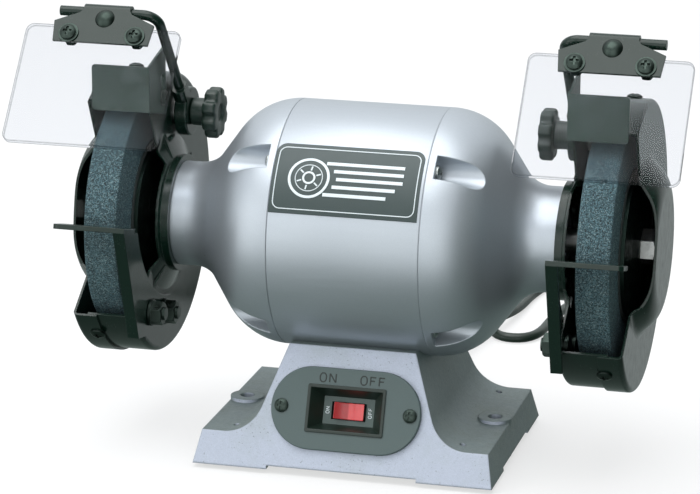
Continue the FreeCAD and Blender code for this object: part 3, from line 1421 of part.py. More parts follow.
# ---------------------------------------------------------------- wiring
def capacitor():
    floor = float(plate_level + sheet_metal)
    radius = 15.0
    middle_y = 12.0
    can = Part.makeCylinder(radius, 60.0, spot(-30.0, middle_y, floor + radius), spot(1, 0, 0))
    can = can.makeFillet(1.5, [edge for edge in can.Edges if edge.Closed])
    keep(solid("run_capacitor", can), "run_capacitor")
    wall = 1.2
    width = 14.0
    strap_start = spot(-width / 2, middle_y, floor + radius)
    strap = Part.makeCylinder(radius + wall, width, strap_start, spot(1, 0, 0))
    strap = strap.fuse(Part.makeBox(width, 2 * (radius + wall), radius,
                                    spot(-width / 2, middle_y - radius - wall, floor)))
    hollow = Part.makeCylinder(radius, width, strap_start, spot(1, 0, 0))
    hollow = hollow.fuse(Part.makeBox(width, 2 * radius, radius, spot(-width / 2, middle_y - radius, floor)))
    strap = strap.cut(hollow)
    for way in (-1, 1):
        edge = middle_y + way * (radius + wall)
        tab = Part.makeBox(width, 11.0, wall, spot(-width / 2, edge if way > 0 else edge - 11.0, floor))
        rivet = Part.makeCylinder(3.0, wall + 1.4, spot(0, edge + way * 5.5, floor))
        strap = strap.fuse(tab).fuse(rivet)
    above = Part.makeBox(80.0, 120.0, 80.0, spot(-40.0, middle_y - 60.0, floor))
    keep(solid("capacitor_clamp", strap.common(above).removeSplitter()), "capacitor_clamp")


def terminal_block():
    floor = float(plate_level + sheet_metal)
    block = Part.makeBox(36.0, 15.0, 13.0, spot(19.0, 36.0, floor))
    for index in range(3):
        x = 19.0 + 6.0 + 12.0 * index
        block = block.cut(Part.makeCylinder(2.2, 8.0, spot(x, 43.5, floor + 6)))
        block = block.cut(Part.makeCylinder(1.8, 15.0, spot(x, 36.0, floor + 5), spot(0, 1, 0)))
    keep(solid("terminal_block", block), "terminal_block")


def cord_gland():
    outside = wall_at(float(gland_level))
    start = outside - 13.0
    slab = prism(1, -30.0, 60.0, [(wall_at(0.0), 0.0), (wall_at(70.0), 70.0),
                                  (wall_at(70.0) - float(base_wall), 70.0),
                                  (wall_at(0.0) - float(base_wall), 0.0)])
    place = spot(gland_x, start, gland_level)
    flanges = Part.makeCylinder(9.0, 18.0, place, spot(0, 1, 0)).cut(slab)
    shank = Part.makeCylinder(float(gland_radius), 18.0, place, spot(0, 1, 0))
    boot_start = spot(gland_x, start + 18.0, gland_level)
    boot = Part.makeCone(7.0, 4.6, float(boot_length), boot_start, spot(0, 1, 0))
    bore = Part.makeCylinder(float(cord_radius), 80.0, spot(gland_x, start - 5, gland_level), spot(0, 1, 0))
    keep(solid("cord_gland", flanges.fuse(shank).fuse(boot).cut(bore).removeSplitter()), "cord_gland")


def cord_points():
    """The cord's corner points, from inside the base to the coil behind the grinder."""
    rest = float(cord_radius) + 0.15
    over = rest + 2 * float(cord_radius) + 0.5
    out = wall_at(float(gland_level))
    return [(gland_x, out - 9.0, gland_level), (gland_x, out + 46.0, gland_level), (11.0, 158.0, 15.0),
            (18.0, 206.0, over), (26.5, 250.0, over), (33.5, 300.0, rest + 1.0), (35.0, 348.0, rest),
            (48.0, 398.0, rest), (88.0, 418.0, rest), (104.0, 378.0, rest), (70.0, 344.0, rest),
            (60.0, 294.0, rest), (58.5, 236.0, rest), (31.0, 231.0, rest), (20.0, 268.0, rest),
            (-24.0, 280.0, rest), coil_entry()]


def coil_middle():
    return (-85.0, 310.0)


def outer_turn():
    return float(coil_radius) + float(cord_radius)


def coil_entry():
    x, y = coil_middle()
    return (x, y - outer_turn(), float(cord_radius) + 0.15)


def rounded_path(points):
    """Straight runs joined by arcs; each arc uses 0.45 of the shorter run beside it."""
    path = [spot(*point) for point in points]
    edges = []
    at = path[0]
    for before, corner, after in zip(path[:-2], path[1:-1], path[2:]):
        toward = (before - corner).normalize()
        away = (after - corner).normalize()
        shorter = min((before - corner).Length, (after - corner).Length)
        half_turn = (math.pi - toward.getAngle(away)) / 2
        tangent = 0.45 * shorter
        bend = tangent / math.tan(half_turn)
        print("cord bend radius", round(bend, 1), "turn", round(math.degrees(2 * half_turn), 1))
        start = corner + toward * tangent
        end = corner + away * tangent
        middle = corner + (toward + away).normalize() * (bend / math.cos(half_turn) - bend)
        edges.append(Part.LineSegment(at, start).toShape())
        edges.append(Part.Arc(start, middle, end).toShape())
        at = end
    edges.append(Part.LineSegment(at, path[-1]).toShape())
    return Part.Wire(edges)


def power_cord():
    points = cord_points()
    path = rounded_path(points)
    first = spot(*points[0])
    ring = Part.Wire(Part.makeCircle(float(cord_radius), first, spot(*points[1]) - first))
    tube = path.makePipeShell([ring], True, False)
    area = math.pi * float(cord_radius) ** 2
    print("cord length", round(path.Length, 1), "volume over section", round(tube.Volume / area, 1))
    x, y = coil_middle()
    reach = float(coil_radius) + 2 * float(cord_radius)
    well = float(coil_radius) - 2 * float(cord_radius)
    height = 4 * float(cord_radius) + 0.4
    coil = Part.makeCylinder(reach, height, spot(x, y, 0.05))
    coil = coil.cut(Part.makeCylinder(well, height, spot(x, y, 0.05)))
    coil = coil.makeFillet(2.6, [edge for edge in coil.Edges if edge.Closed])
    keep(solid("cord_coil", coil), "cord_coil")
    plug_start = y + 46.0
    tail = Part.makeCylinder(float(cord_radius), plug_start - y, spot(x - outer_turn(), y, points[-1][2]),
                             spot(0, 1, 0))
    loose = Part.makeCompound([tube.cut(coil), tail.cut(coil)])
    keep(solid("power_cord", loose), "power_cord")
    plug(x - outer_turn(), plug_start, points[-1][2])


def plug(x, y, level):
    """The moulded plug lies on its side behind the coil, its pins pointing away."""
    grip = frustum((9.0, 7.0), (14.0, 11.0), 0.0, 16.0)
    face = box_solid(14.0, 11.0, 16.0, 34.0)
    boot = Part.makeCone(4.6, 6.6, 14.0, spot(0, 0, -12.0))
    body = grip.fuse(face).fuse(boot).removeSplitter()
    pins = [box_at(-6.35, 2.0, 0.75, 3.15, 34.0, 52.0), box_at(6.35, 2.0, 0.75, 3.15, 34.0, 52.0),
            Part.makeCylinder(2.4, 20.0, spot(0, -7.0, 34.0))]
    lift = 11.05 - level
    across = Part.makeCylinder(float(cord_radius), 12.0, spot(0, -lift, -12.0))
    for name, shape in (("plug", body.fuse(across)), ("plug_pins", Part.makeCompound(pins))):
        placed = shape.copy()
        lying = FreeCAD.Placement(spot(x, y + 12.0, 11.05), FreeCAD.Rotation(spot(1, 0, 0), -90))
        placed.Placement = lying.multiply(shape.Placement)
        keep(solid(name, placed), name)


# ---------------------------------------------------------------- the whole grinder
def build():
    base_casting()
    base_plate()
    feet()
    saddle_bolts()
    switch_plate()
    switch_bezel()
    switch_body()
    switch_rocker()
    capacitor()
    terminal_block()
    cord_gland()
    power_cord()
    motor_shell()
    nameplate()
    stator()
    rotor()
    spindle()
    bearings()
    bell_screws()
    wheels()
    guard_screws()
    rest_fasteners()
    arrestor_screws()
    shield_pivots()
    for side, word in SIDES:
        end_bell(side, word)
        inner_guard(side, word)
        outer_cover(side, word)
        tool_rest(side, word)
        spark_arrestor(side, word)
        shield_arm(side, word)
        shield_knob(side, word)
        eye_shield(side, word)
        shield_bracket(side, word)
        shield_screws(side, word)


def check_and_export():
    doc.recompute()
    trouble = []
    for piece in doc.Objects:
        if "Invalid" in piece.State or "Error" in piece.State:
            trouble.append(piece.Name + " " + str(piece.State))
    for piece in nodes:
        shape = piece.Shape
        if shape.isNull() or not shape.isValid() or not shape.Solids:
            trouble.append(piece.Label + " has a bad shape")
    if trouble:
        raise RuntimeError("; ".join(trouble))
    for piece in nodes:
        piece.Shape.exportStep("parts/" + piece.Label + ".step")
        print(piece.Label, len(piece.Shape.Solids), round(piece.Shape.Volume, 1))


build()
check_and_export()
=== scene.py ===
import json
import math

import bmesh
import bpy
from bpy.props import FloatProperty, FloatVectorProperty, IntProperty, PointerProperty
from mathutils import Matrix, Vector


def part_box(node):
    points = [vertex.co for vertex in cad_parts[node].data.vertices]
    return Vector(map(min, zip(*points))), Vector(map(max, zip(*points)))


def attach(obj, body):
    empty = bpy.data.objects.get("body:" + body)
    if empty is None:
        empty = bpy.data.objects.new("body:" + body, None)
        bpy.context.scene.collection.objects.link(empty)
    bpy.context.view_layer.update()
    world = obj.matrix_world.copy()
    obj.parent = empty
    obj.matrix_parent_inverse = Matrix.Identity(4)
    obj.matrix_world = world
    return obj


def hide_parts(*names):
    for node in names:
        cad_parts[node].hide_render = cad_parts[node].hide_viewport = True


bl_info = {
    "name": "Bench Grinder",
    "version": (1, 0, 0),
    "blender": (4, 5, 0),
    "location": "View3D > Sidebar > Grinder",
    "description": "Builds the finished surfaces of a double-ended bench grinder around its frame",
    "category": "Object",
}

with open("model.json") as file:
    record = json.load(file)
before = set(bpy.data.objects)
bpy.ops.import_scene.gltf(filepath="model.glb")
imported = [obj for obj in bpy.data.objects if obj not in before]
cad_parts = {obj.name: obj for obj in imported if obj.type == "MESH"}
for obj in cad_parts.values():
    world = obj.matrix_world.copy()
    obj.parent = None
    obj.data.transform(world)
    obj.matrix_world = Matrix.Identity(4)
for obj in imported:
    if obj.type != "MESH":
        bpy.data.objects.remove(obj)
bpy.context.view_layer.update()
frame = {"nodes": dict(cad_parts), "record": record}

MM = 0.001
SIDES = {"left": -1, "right": 1}
AXIS_Z = (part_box("spindle")[0][2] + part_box("spindle")[1][2]) / 2
SHELL_RADIUS = (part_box("motor_shell")[1][1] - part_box("motor_shell")[0][1]) / 2
SEAM_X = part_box("motor_shell")[1][0]


# ---------------------------------------------------------------- sizes and colours
class GrinderSettings(bpy.types.PropertyGroup):
    """Sizes and colours of the finish."""

    shell_colour: FloatVectorProperty(
        name="Shell paint", description="Satin silver paint of the motor", subtype="COLOR", size=3,
        min=0, max=1, default=(0.46, 0.50, 0.54))
    casting_colour: FloatVectorProperty(
        name="Casting paint", description="Silver paint of the sand-cast base", subtype="COLOR", size=3,
        min=0, max=1, default=(0.49, 0.535, 0.63))
    enamel_colour: FloatVectorProperty(
        name="Enamel", description="Black enamel of guards, rests and arms", subtype="COLOR", size=3,
        min=0, max=1, default=(0.005, 0.018, 0.012))
    wheel_colour: FloatVectorProperty(
        name="Abrasive", description="Mean colour of the grinding wheels", subtype="COLOR", size=3,
        min=0, max=1, default=(0.050, 0.096, 0.110))
    rocker_colour: FloatVectorProperty(
        name="Rocker", description="Translucent red of the switch rocker", subtype="COLOR", size=3,
        min=0, max=1, default=(0.50, 0.018, 0.022))
    edge_round: FloatProperty(
        name="Edge rounding", description="Rounding of pressed and cut edges", subtype="DISTANCE",
        unit="LENGTH", default=0.0006, min=0.0, max=0.003)
    cast_round: FloatProperty(
        name="Casting rounding", description="Rounding of the cast base's edges", subtype="DISTANCE",
        unit="LENGTH", default=0.0016, min=0.0, max=0.004)
    turned_steps: IntProperty(
        name="Turned steps", description="Number of steps in a full turn of a turned piece",
        default=180, min=32, max=360)
    camera_lens: FloatProperty(
        name="Lens", description="Focal length of the camera in millimetres", default=160.7, min=20, max=400)


def settings():
    return bpy.context.scene.grinder


# ---------------------------------------------------------------- shader helpers
def add(tree, kind, **values):
    """A node whose sockets are set, or linked when the value is another socket."""
    node = tree.nodes.new(kind)
    for name, value in values.items():
        if name in node.inputs:
            feed(tree, node.inputs[name], value)
        else:
            setattr(node, name, value)
    return node


def feed(tree, socket, value):
    """Set a socket, or link it when the value is another socket."""
    if isinstance(value, bpy.types.NodeSocket):
        tree.links.new(value, socket)
    elif isinstance(value, tuple) and len(value) == 3 and socket.type == "RGBA":
        socket.default_value = value + (1.0,)
    else:
        socket.default_value = value


def feed_at(tree, node, number, value):
    feed(tree, node.inputs[number], value)


def blend(tree, mask, first, second):
    """Colour that runs from first to second as the mask rises."""
    mix = tree.nodes.new("ShaderNodeMix")
    mix.data_type = "RGBA"
    feed_at(tree, mix, 0, mask)
    feed_at(tree, mix, 6, first)
    feed_at(tree, mix, 7, second)
    return mix.outputs[2]


def ramp(tree, value, low, high, out_low=0.0, out_high=1.0):
    """A number that runs from out_low to out_high as value runs from low to high."""
    node = add(tree, "ShaderNodeMapRange", clamp=True)
    for number, number_value in enumerate((value, low, high, out_low, out_high)):
        feed_at(tree, node, number, number_value)
    return node.outputs[0]


def sums(tree, operation, first, second):
    """One sum on two numbers or sockets."""
    node = add(tree, "ShaderNodeMath", operation=operation)
    feed_at(tree, node, 0, first)
    feed_at(tree, node, 1, second)
    return node.outputs[0]


def place(tree):
    """The piece's own coordinates, in metres."""
    return add(tree, "ShaderNodeTexCoord").outputs["Object"]


def noise(tree, scale, detail=4.0, roughness=0.55, stretch=None):
    """Noise in the piece's own space, scale in features a metre."""
    where = place(tree)
    if stretch:
        where = add(tree, "ShaderNodeMapping", Vector=where, Scale=stretch).outputs[0]
    node = add(tree, "ShaderNodeTexNoise", Vector=where, Scale=scale, Detail=detail, Roughness=roughness)
    return node.outputs["Fac"]


def new_group(name, inputs, outputs):
    """A node group of plain numbers in and out, with its two end nodes."""
    group = bpy.data.node_groups.new(name, "ShaderNodeTree")
    for label, value in inputs:
        socket = group.interface.new_socket(name=label, in_out="INPUT", socket_type="NodeSocketFloat")
        socket.default_value = value
    for label in outputs:
        group.interface.new_socket(name=label, in_out="OUTPUT", socket_type="NodeSocketFloat")
    start = group.nodes.new("NodeGroupInput")
    end = group.nodes.new("NodeGroupOutput")
    return group, start, end


def effect(tree, group, **values):
    """Outputs of a node group placed in a material."""
    node = tree.nodes.new("ShaderNodeGroup")
    node.node_tree = group
    for name, value in values.items():
        feed(tree, node.inputs[name.replace("_", " ")], value)
    return node.outputs


def grain_group():
    """Fine even grain: a value round one half, and a height for bump."""
    group, start, end = new_group("Grain", (("Scale", 2000.0), ("Spread", 1.0)), ("Value", "Height"))
    node = add(group, "ShaderNodeTexNoise", Vector=place(group), Scale=start.outputs[0], Detail=3.0,
               Roughness=0.6)
    centred = sums(group, "SUBTRACT", node.outputs["Fac"], 0.5)
    spread = sums(group, "MULTIPLY", centred, start.outputs[1])
    feed(group, end.inputs[0], sums(group, "ADD", spread, 0.5))
    feed(group, end.inputs[1], node.outputs["Fac"])
    return group


def wear_group():
    """Worn outer edges, broken up by noise: the rounded normal turns away from the flat one."""
    group, start, end = new_group("Edge wear", (("Amount", 0.5), ("Reach", 0.0008)), ("Mask", "Edge"))
    rounded = add(group, "ShaderNodeBevel", samples=4)
    feed(group, rounded.inputs["Radius"], start.outputs[1])
    flat = add(group, "ShaderNodeNewGeometry").outputs["Normal"]
    turned = add(group, "ShaderNodeVectorMath", operation="DOT_PRODUCT")
    feed_at(group, turned, 0, rounded.outputs[0])
    feed_at(group, turned, 1, flat)
    edge = ramp(group, turned.outputs["Value"], 0.995, 0.90)
    patchy = ramp(group, noise(group, 260.0, 6.0, 0.7), 0.42, 0.62)
    feed(group, end.inputs[0], sums(group, "MULTIPLY", sums(group, "MULTIPLY", edge, patchy), start.outputs[0]))
    feed(group, end.inputs[1], sums(group, "MULTIPLY", edge, start.outputs[0]))
    return group


def dust_group():
    """Pale grit that settles on what faces up, in patches and specks."""
    group, start, end = new_group("Dust", (("Amount", 0.3),), ("Mask",))
    normal = add(group, "ShaderNodeNewGeometry").outputs["Normal"]
    upward = ramp(group, add(group, "ShaderNodeSeparateXYZ", Vector=normal).outputs[2], -0.2, 0.9, 0.15, 1.0)
    patch = ramp(group, noise(group, 45.0, 6.0, 0.65), 0.35, 0.75)
    speck = ramp(group, noise(group, 1700.0, 2.0, 0.5), 0.56, 0.72)
    both = sums(group, "MAXIMUM", sums(group, "MULTIPLY", patch, 0.45), sums(group, "MULTIPLY", patch, speck))
    feed(group, end.inputs[0], sums(group, "MULTIPLY", sums(group, "MULTIPLY", both, upward), start.outputs[0]))
    return group


def scratch_group():
    """Fine scratches that run a few ways."""
    group, start, end = new_group("Scratches", (("Amount", 0.5),), ("Mask",))
    total = None
    for angle, scale in ((0.4, 900.0), (1.9, 700.0), (2.7, 1100.0)):
        turned = add(group, "ShaderNodeMapping", Vector=place(group),
                     Rotation=(angle, angle * 0.7, angle * 1.3), Scale=(1.0, 0.03, 1.0))
        lines = add(group, "ShaderNodeTexNoise", Vector=turned.outputs[0], Scale=scale, Detail=2.0)
        mask = ramp(group, lines.outputs["Fac"], 0.69, 0.74)
        total = mask if total is None else sums(group, "MAXIMUM", total, mask)
    patch = ramp(group, noise(group, 60.0, 3.0), 0.45, 0.65)
    feed(group, end.inputs[0], sums(group, "MULTIPLY", sums(group, "MULTIPLY", total, patch), start.outputs[0]))
    return group


effects = {}


def blank_material(name):
    """A new material with its tree and its Principled shader."""
    made = bpy.data.materials.new(name)
    made.use_nodes = True
    tree = made.node_tree
    return made, tree, tree.nodes["Principled BSDF"]


def bump(tree, shader, height, distance, strength=1.0, rounding=0.0004):
    """Fine relief over edges that catch the light as if they were rounded."""
    soft = add(tree, "ShaderNodeBevel", samples=6, Radius=rounding)
    node = add(tree, "ShaderNodeBump", Height=height, Distance=distance, Strength=strength,
               Normal=soft.outputs[0])
    tree.links.new(node.outputs[0], shader.inputs["Normal"])


def shade(tree, shader, **values):
    """Set or link sockets of the shader by name."""
    for name, value in values.items():
        feed(tree, shader.inputs[name.replace("_", " ")], value)


def shell_paint():
    """Satin silver paint: fine metal flake, a soft orange peel, drawn lines and a little dust."""
    made, tree, shader = blank_material("Silver shell paint")
    colour = tuple(settings().shell_colour)
    flake = effect(tree, effects["grain"], Scale=3600.0, Spread=1.6)
    drawn = noise(tree, 620.0, 3.0, 0.6, (0.06, 1.0, 1.0))
    dark = tuple(0.88 * part for part in colour)
    light = tuple(min(1.0, 1.10 * part) for part in colour)
    painted = blend(tree, flake["Value"], dark, light)
    dust = effect(tree, effects["dust"], Amount=0.10)["Mask"]
    wear = effect(tree, effects["wear"], Amount=0.35, Reach=0.0005)["Mask"]
    specks = ramp(tree, noise(tree, 260.0, 1.0, 0.3), 0.845, 0.855)
    tone = blend(tree, specks, blend(tree, dust, painted, (0.50, 0.53, 0.54)), (0.05, 0.055, 0.05))
    shade(tree, shader, Base_Color=blend(tree, wear, tone, (0.55, 0.57, 0.58)), Metallic=0.68,
          Roughness=ramp(tree, drawn, 0.3, 0.7, 0.37, 0.46), Coat_Weight=0.08, Coat_Roughness=0.24)
    bump(tree, shader, sums(tree, "ADD", flake["Height"], drawn), 0.00002, 0.5, 0.0011)
    return made


def casting_paint():
    """Silver paint over a pitted and stained sand casting; painted shade darkens the faces turned from the
    front, the pits, and in part the grit on faces turned up.
    """
    made, tree, shader = blank_material("Silver casting paint")
    colour = tuple(settings().casting_colour)
    fine = effect(tree, effects["grain"], Scale=1500.0, Spread=1.9)
    lumps = noise(tree, 420.0, 6.0, 0.6)
    dark = tuple(0.80 * part for part in colour)
    painted = blend(tree, fine["Value"], dark, colour)
    cells = add(tree, "ShaderNodeTexVoronoi", Vector=place(tree), Scale=520.0)
    pit_place = ramp(tree, noise(tree, 55.0, 3.0), 0.50, 0.62)
    pits = sums(tree, "MULTIPLY", ramp(tree, cells.outputs["Distance"], 0.16, 0.08), pit_place)
    specks = ramp(tree, noise(tree, 700.0, 1.0, 0.4), 0.72, 0.76)
    stain = ramp(tree, noise(tree, 26.0, 5.0, 0.6), 0.50, 0.78, 0.0, 0.34)
    wear = effect(tree, effects["wear"], Amount=0.30, Reach=0.0014)["Mask"]
    marks = sums(tree, "MAXIMUM", sums(tree, "MULTIPLY", specks, 0.45), sums(tree, "MULTIPLY", pits, 0.8))
    facing = add(tree, "ShaderNodeSeparateXYZ", Vector=add(tree, "ShaderNodeNewGeometry").outputs["Normal"])
    # Painted shade: faces turned away from the front are made darker and greener than the front face.
    painted_side_shade = ramp(tree, facing.outputs[1], -0.86, -0.60)
    side_shaded_paint = blend(tree, sums(tree, "MULTIPLY", painted_side_shade, 0.66), painted, (0.130, 0.185, 0.148))
    stained = blend(tree, stain, side_shaded_paint, (0.28, 0.33, 0.29))
    # Dark grit on faces turned up and away from the front: partly grit, partly painted shade where the motor
    # overhangs the flanges.
    grit = effect(tree, effects["dust"], Amount=1.1)["Mask"]
    grit_and_top_shade = blend(tree, sums(tree, "MULTIPLY", grit, painted_side_shade), stained, (0.17, 0.21, 0.175))
    # Painted shade in the pits, which are darkened in colour as well as sunk by the bump; the specks are dark
    # specks.
    spotted = blend(tree, marks, grit_and_top_shade, (0.10, 0.115, 0.12))
    shade(tree, shader, Base_Color=blend(tree, wear, spotted, (0.42, 0.45, 0.47)), Metallic=0.30,
          Roughness=ramp(tree, lumps, 0.3, 0.7, 0.44, 0.60))
    relief = sums(tree, "ADD", lumps, sums(tree, "MULTIPLY", fine["Height"], 0.4))
    bump(tree, shader, sums(tree, "SUBTRACT", relief, sums(tree, "MULTIPLY", pits, 1.4)), 0.00030, 0.6, 0.0016)
    return made


def enamel():
    """Black enamel on pressed steel: gloss, with settled grit, rubbed edges and scratches."""
    made, tree, shader = blank_material("Black enamel")
    colour = tuple(settings().enamel_colour)
    wear = effect(tree, effects["wear"], Amount=0.30, Reach=0.0004)["Mask"]
    dust = effect(tree, effects["dust"], Amount=0.08)["Mask"]
    scratch = effect(tree, effects["scratch"], Amount=0.22)["Mask"]
    dusty = blend(tree, dust, colour, (0.13, 0.15, 0.14))
    marked = blend(tree, sums(tree, "MAXIMUM", wear, scratch), dusty, (0.20, 0.22, 0.21))
    rough = sums(tree, "ADD", ramp(tree, noise(tree, 150.0, 5.0), 0.3, 0.7, 0.15, 0.24),
                 sums(tree, "MULTIPLY", dust, 0.6))
    shade(tree, shader, Base_Color=marked, Roughness=rough, Specular_IOR_Level=0.36, Coat_Weight=0.10,
          Coat_Roughness=0.10)
    bump(tree, shader, noise(tree, 650.0, 3.0), 0.00005, 0.35, 0.0006)
    return made


def dusty_enamel():
    """The spark arrestors: the same enamel, struck by sparks and hung with pale grit."""
    made, tree, shader = blank_material("Spark-struck enamel")
    colour = tuple(2.2 * part for part in settings().enamel_colour)
    scratch = effect(tree, effects["scratch"], Amount=0.7)["Mask"]
    smear = ramp(tree, noise(tree, 95.0, 6.0, 0.7), 0.45, 0.72, 0.0, 0.55)
    specks = ramp(tree, noise(tree, 900.0, 2.0, 0.5), 0.62, 0.66)
    grit = sums(tree, "MAXIMUM", sums(tree, "MULTIPLY", smear, 0.5), specks)
    marks = sums(tree, "MAXIMUM", sums(tree, "MULTIPLY", grit, 0.7), scratch)
    shade(tree, shader, Base_Color=blend(tree, marks, colour, (0.33, 0.38, 0.36)),
          Roughness=ramp(tree, grit, 0.0, 1.0, 0.34, 0.62))
    bump(tree, shader, grit, 0.00008, 0.4, 0.0005)
    return made


def abrasive():
    """Vitrified blue-grey abrasive: grains, open pores and a few glints."""
    made, tree, shader = blank_material("Vitrified abrasive")
    colour = tuple(settings().wheel_colour)
    cells = add(tree, "ShaderNodeTexVoronoi", Vector=place(tree), Scale=2100.0)
    split = add(tree, "ShaderNodeSeparateColor", Color=cells.outputs["Color"])
    light = tuple(min(1.0, 2.0 * part) for part in colour)
    dark = tuple(0.30 * part for part in colour)
    toned = blend(tree, ramp(tree, split.outputs[0], 0.15, 1.0), dark, light)
    glints = ramp(tree, split.outputs[1], 0.87, 0.93)
    pores = ramp(tree, noise(tree, 1100.0, 2.0), 0.40, 0.30)
    stained = blend(tree, ramp(tree, noise(tree, 38.0, 5.0), 0.45, 0.75, 0.0, 0.25), toned, (0.07, 0.09, 0.09))
    # Painted shade: the open pores are painted near black.
    porous = blend(tree, pores, stained, (0.008, 0.012, 0.012))
    shade(tree, shader, Base_Color=blend(tree, glints, porous, (0.20, 0.29, 0.30)), Roughness=0.85)
    relief = sums(tree, "SUBTRACT", cells.outputs["Distance"], pores)
    bump(tree, shader, sums(tree, "ADD", relief, noise(tree, 2600.0, 2.0)), 0.00030, 0.7, 0.0006)
    return made


def clear_sheet():
    """Clear impact-resistant sheet with hairline scratches and a faint haze."""
    made, tree, shader = blank_material("Clear sheet")
    scratch = effect(tree, effects["scratch"], Amount=0.35)["Mask"]
    haze = ramp(tree, noise(tree, 30.0, 4.0), 0.45, 0.85, 0.0, 0.004)
    rim = effect(tree, effects["wear"], Amount=1.0, Reach=0.0015)["Edge"]
    shade(tree, shader, Base_Color=blend(tree, rim, (0.83, 0.845, 0.875), (0.10, 0.11, 0.12)),
          Roughness=sums(tree, "ADD", haze, sums(tree, "MULTIPLY", scratch, 0.03)),
          Transmission_Weight=1.0, IOR=1.01, Coat_Weight=0.10, Coat_Roughness=0.03)
    bump(tree, shader, scratch, 0.00001, 0.3, 0.0003)
    return made


def moulded(name, colour, roughness, grain_height=0.00006, dust_amount=0.15, coat=0.0, rounding=0.0005):
    """A moulded plastic or rubber with a fine spark grain and some dust."""
    made, tree, shader = blank_material(name)
    grain = effect(tree, effects["grain"], Scale=2400.0, Spread=1.2)
    dust = effect(tree, effects["dust"], Amount=dust_amount)["Mask"]
    lighter = tuple(min(1.0, 1.25 * part + 0.004) for part in colour)
    toned = blend(tree, grain["Value"], colour, lighter)
    shade(tree, shader, Base_Color=blend(tree, dust, toned, (0.22, 0.24, 0.23)),
          Roughness=ramp(tree, noise(tree, 180.0, 4.0), 0.3, 0.7, roughness - 0.05, roughness + 0.07),
          Coat_Weight=coat, Coat_Roughness=0.1)
    bump(tree, shader, grain["Height"], grain_height, 0.5, rounding)
    return made


def metal(name, colour, roughness, brushed=(1.0, 1.0, 1.0), tarnish=0.25):
    """Bare or plated steel with fine tool marks, tarnish and bright edges."""
    made, tree, shader = blank_material(name)
    lines = noise(tree, 1500.0, 3.0, 0.6, brushed)
    stain = ramp(tree, noise(tree, 160.0, 6.0, 0.65), 0.4, 0.75, 0.0, tarnish)
    wear = effect(tree, effects["wear"], Amount=0.5, Reach=0.0003)["Mask"]
    toned = blend(tree, lines, tuple(0.85 * part for part in colour), colour)
    dulled = blend(tree, stain, toned, tuple(0.35 * part for part in colour))
    bright = tuple(min(1.0, 1.4 * part + 0.03) for part in colour)
    rough = ramp(tree, lines, 0.3, 0.7, roughness - 0.05, roughness + 0.08)
    shade(tree, shader, Base_Color=blend(tree, wear, dulled, bright), Metallic=1.0,
          Roughness=sums(tree, "ADD", rough, stain))
    bump(tree, shader, lines, 0.00003, 0.4, 0.0003)
    return made


def plate_print():
    """Printed plate: dark grey-green, with painted light making it a little lighter towards the top."""
    made, tree, shader = blank_material("Printed plate")
    height = add(tree, "ShaderNodeSeparateXYZ", Vector=place(tree)).outputs[2]
    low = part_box("nameplate")[0][2]
    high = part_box("nameplate")[1][2]
    # Painted light: the plate is made lighter towards its top.
    painted_top_light = ramp(tree, height, float(low), float(high))
    grain = effect(tree, effects["grain"], Scale=2600.0, Spread=0.8)
    base = blend(tree, painted_top_light, (0.020, 0.040, 0.038), (0.048, 0.068, 0.068))
    fleck = ramp(tree, grain["Value"], 0.2, 0.8, 0.0, 0.06)
    shade(tree, shader, Base_Color=blend(tree, fleck, base, (0.3, 0.32, 0.32)),
          Roughness=ramp(tree, noise(tree, 90.0, 4.0), 0.3, 0.7, 0.46, 0.56))
    bump(tree, shader, grain["Height"], 0.00002, 0.4)
    return made


def translucent_red():
    """Red translucent moulding of the rocker, with painted shade deepening one half and painted light paling
    the other.
    """
    made, tree, shader = blank_material("Red rocker")
    colour = tuple(settings().rocker_colour)
    cloud = noise(tree, 300.0, 3.0)
    across = add(tree, "ShaderNodeSeparateXYZ", Vector=place(tree)).outputs[0]
    # Painted shade on the half at negative x and painted light on the other half.
    half = ramp(tree, across, -0.0004, 0.0004)
    shaded_half_red = blend(tree, cloud, tuple(0.72 * part for part in colour), tuple(0.85 * part for part in colour))
    pale = blend(tree, cloud, tuple(min(1.0, 1.15 * part + 0.03) for part in colour),
                 tuple(min(1.0, 1.3 * part + 0.05) for part in colour))
    shade(tree, shader, Base_Color=blend(tree, half, shaded_half_red, pale),
          Roughness=ramp(tree, noise(tree, 500.0, 3.0), 0.3, 0.7, 0.16, 0.24), Subsurface_Weight=0.25,
          Subsurface_Scale=0.002, Coat_Weight=0.3, Coat_Roughness=0.08)
    bump(tree, shader, cloud, 0.00002, 0.3)
    return made


materials = {}


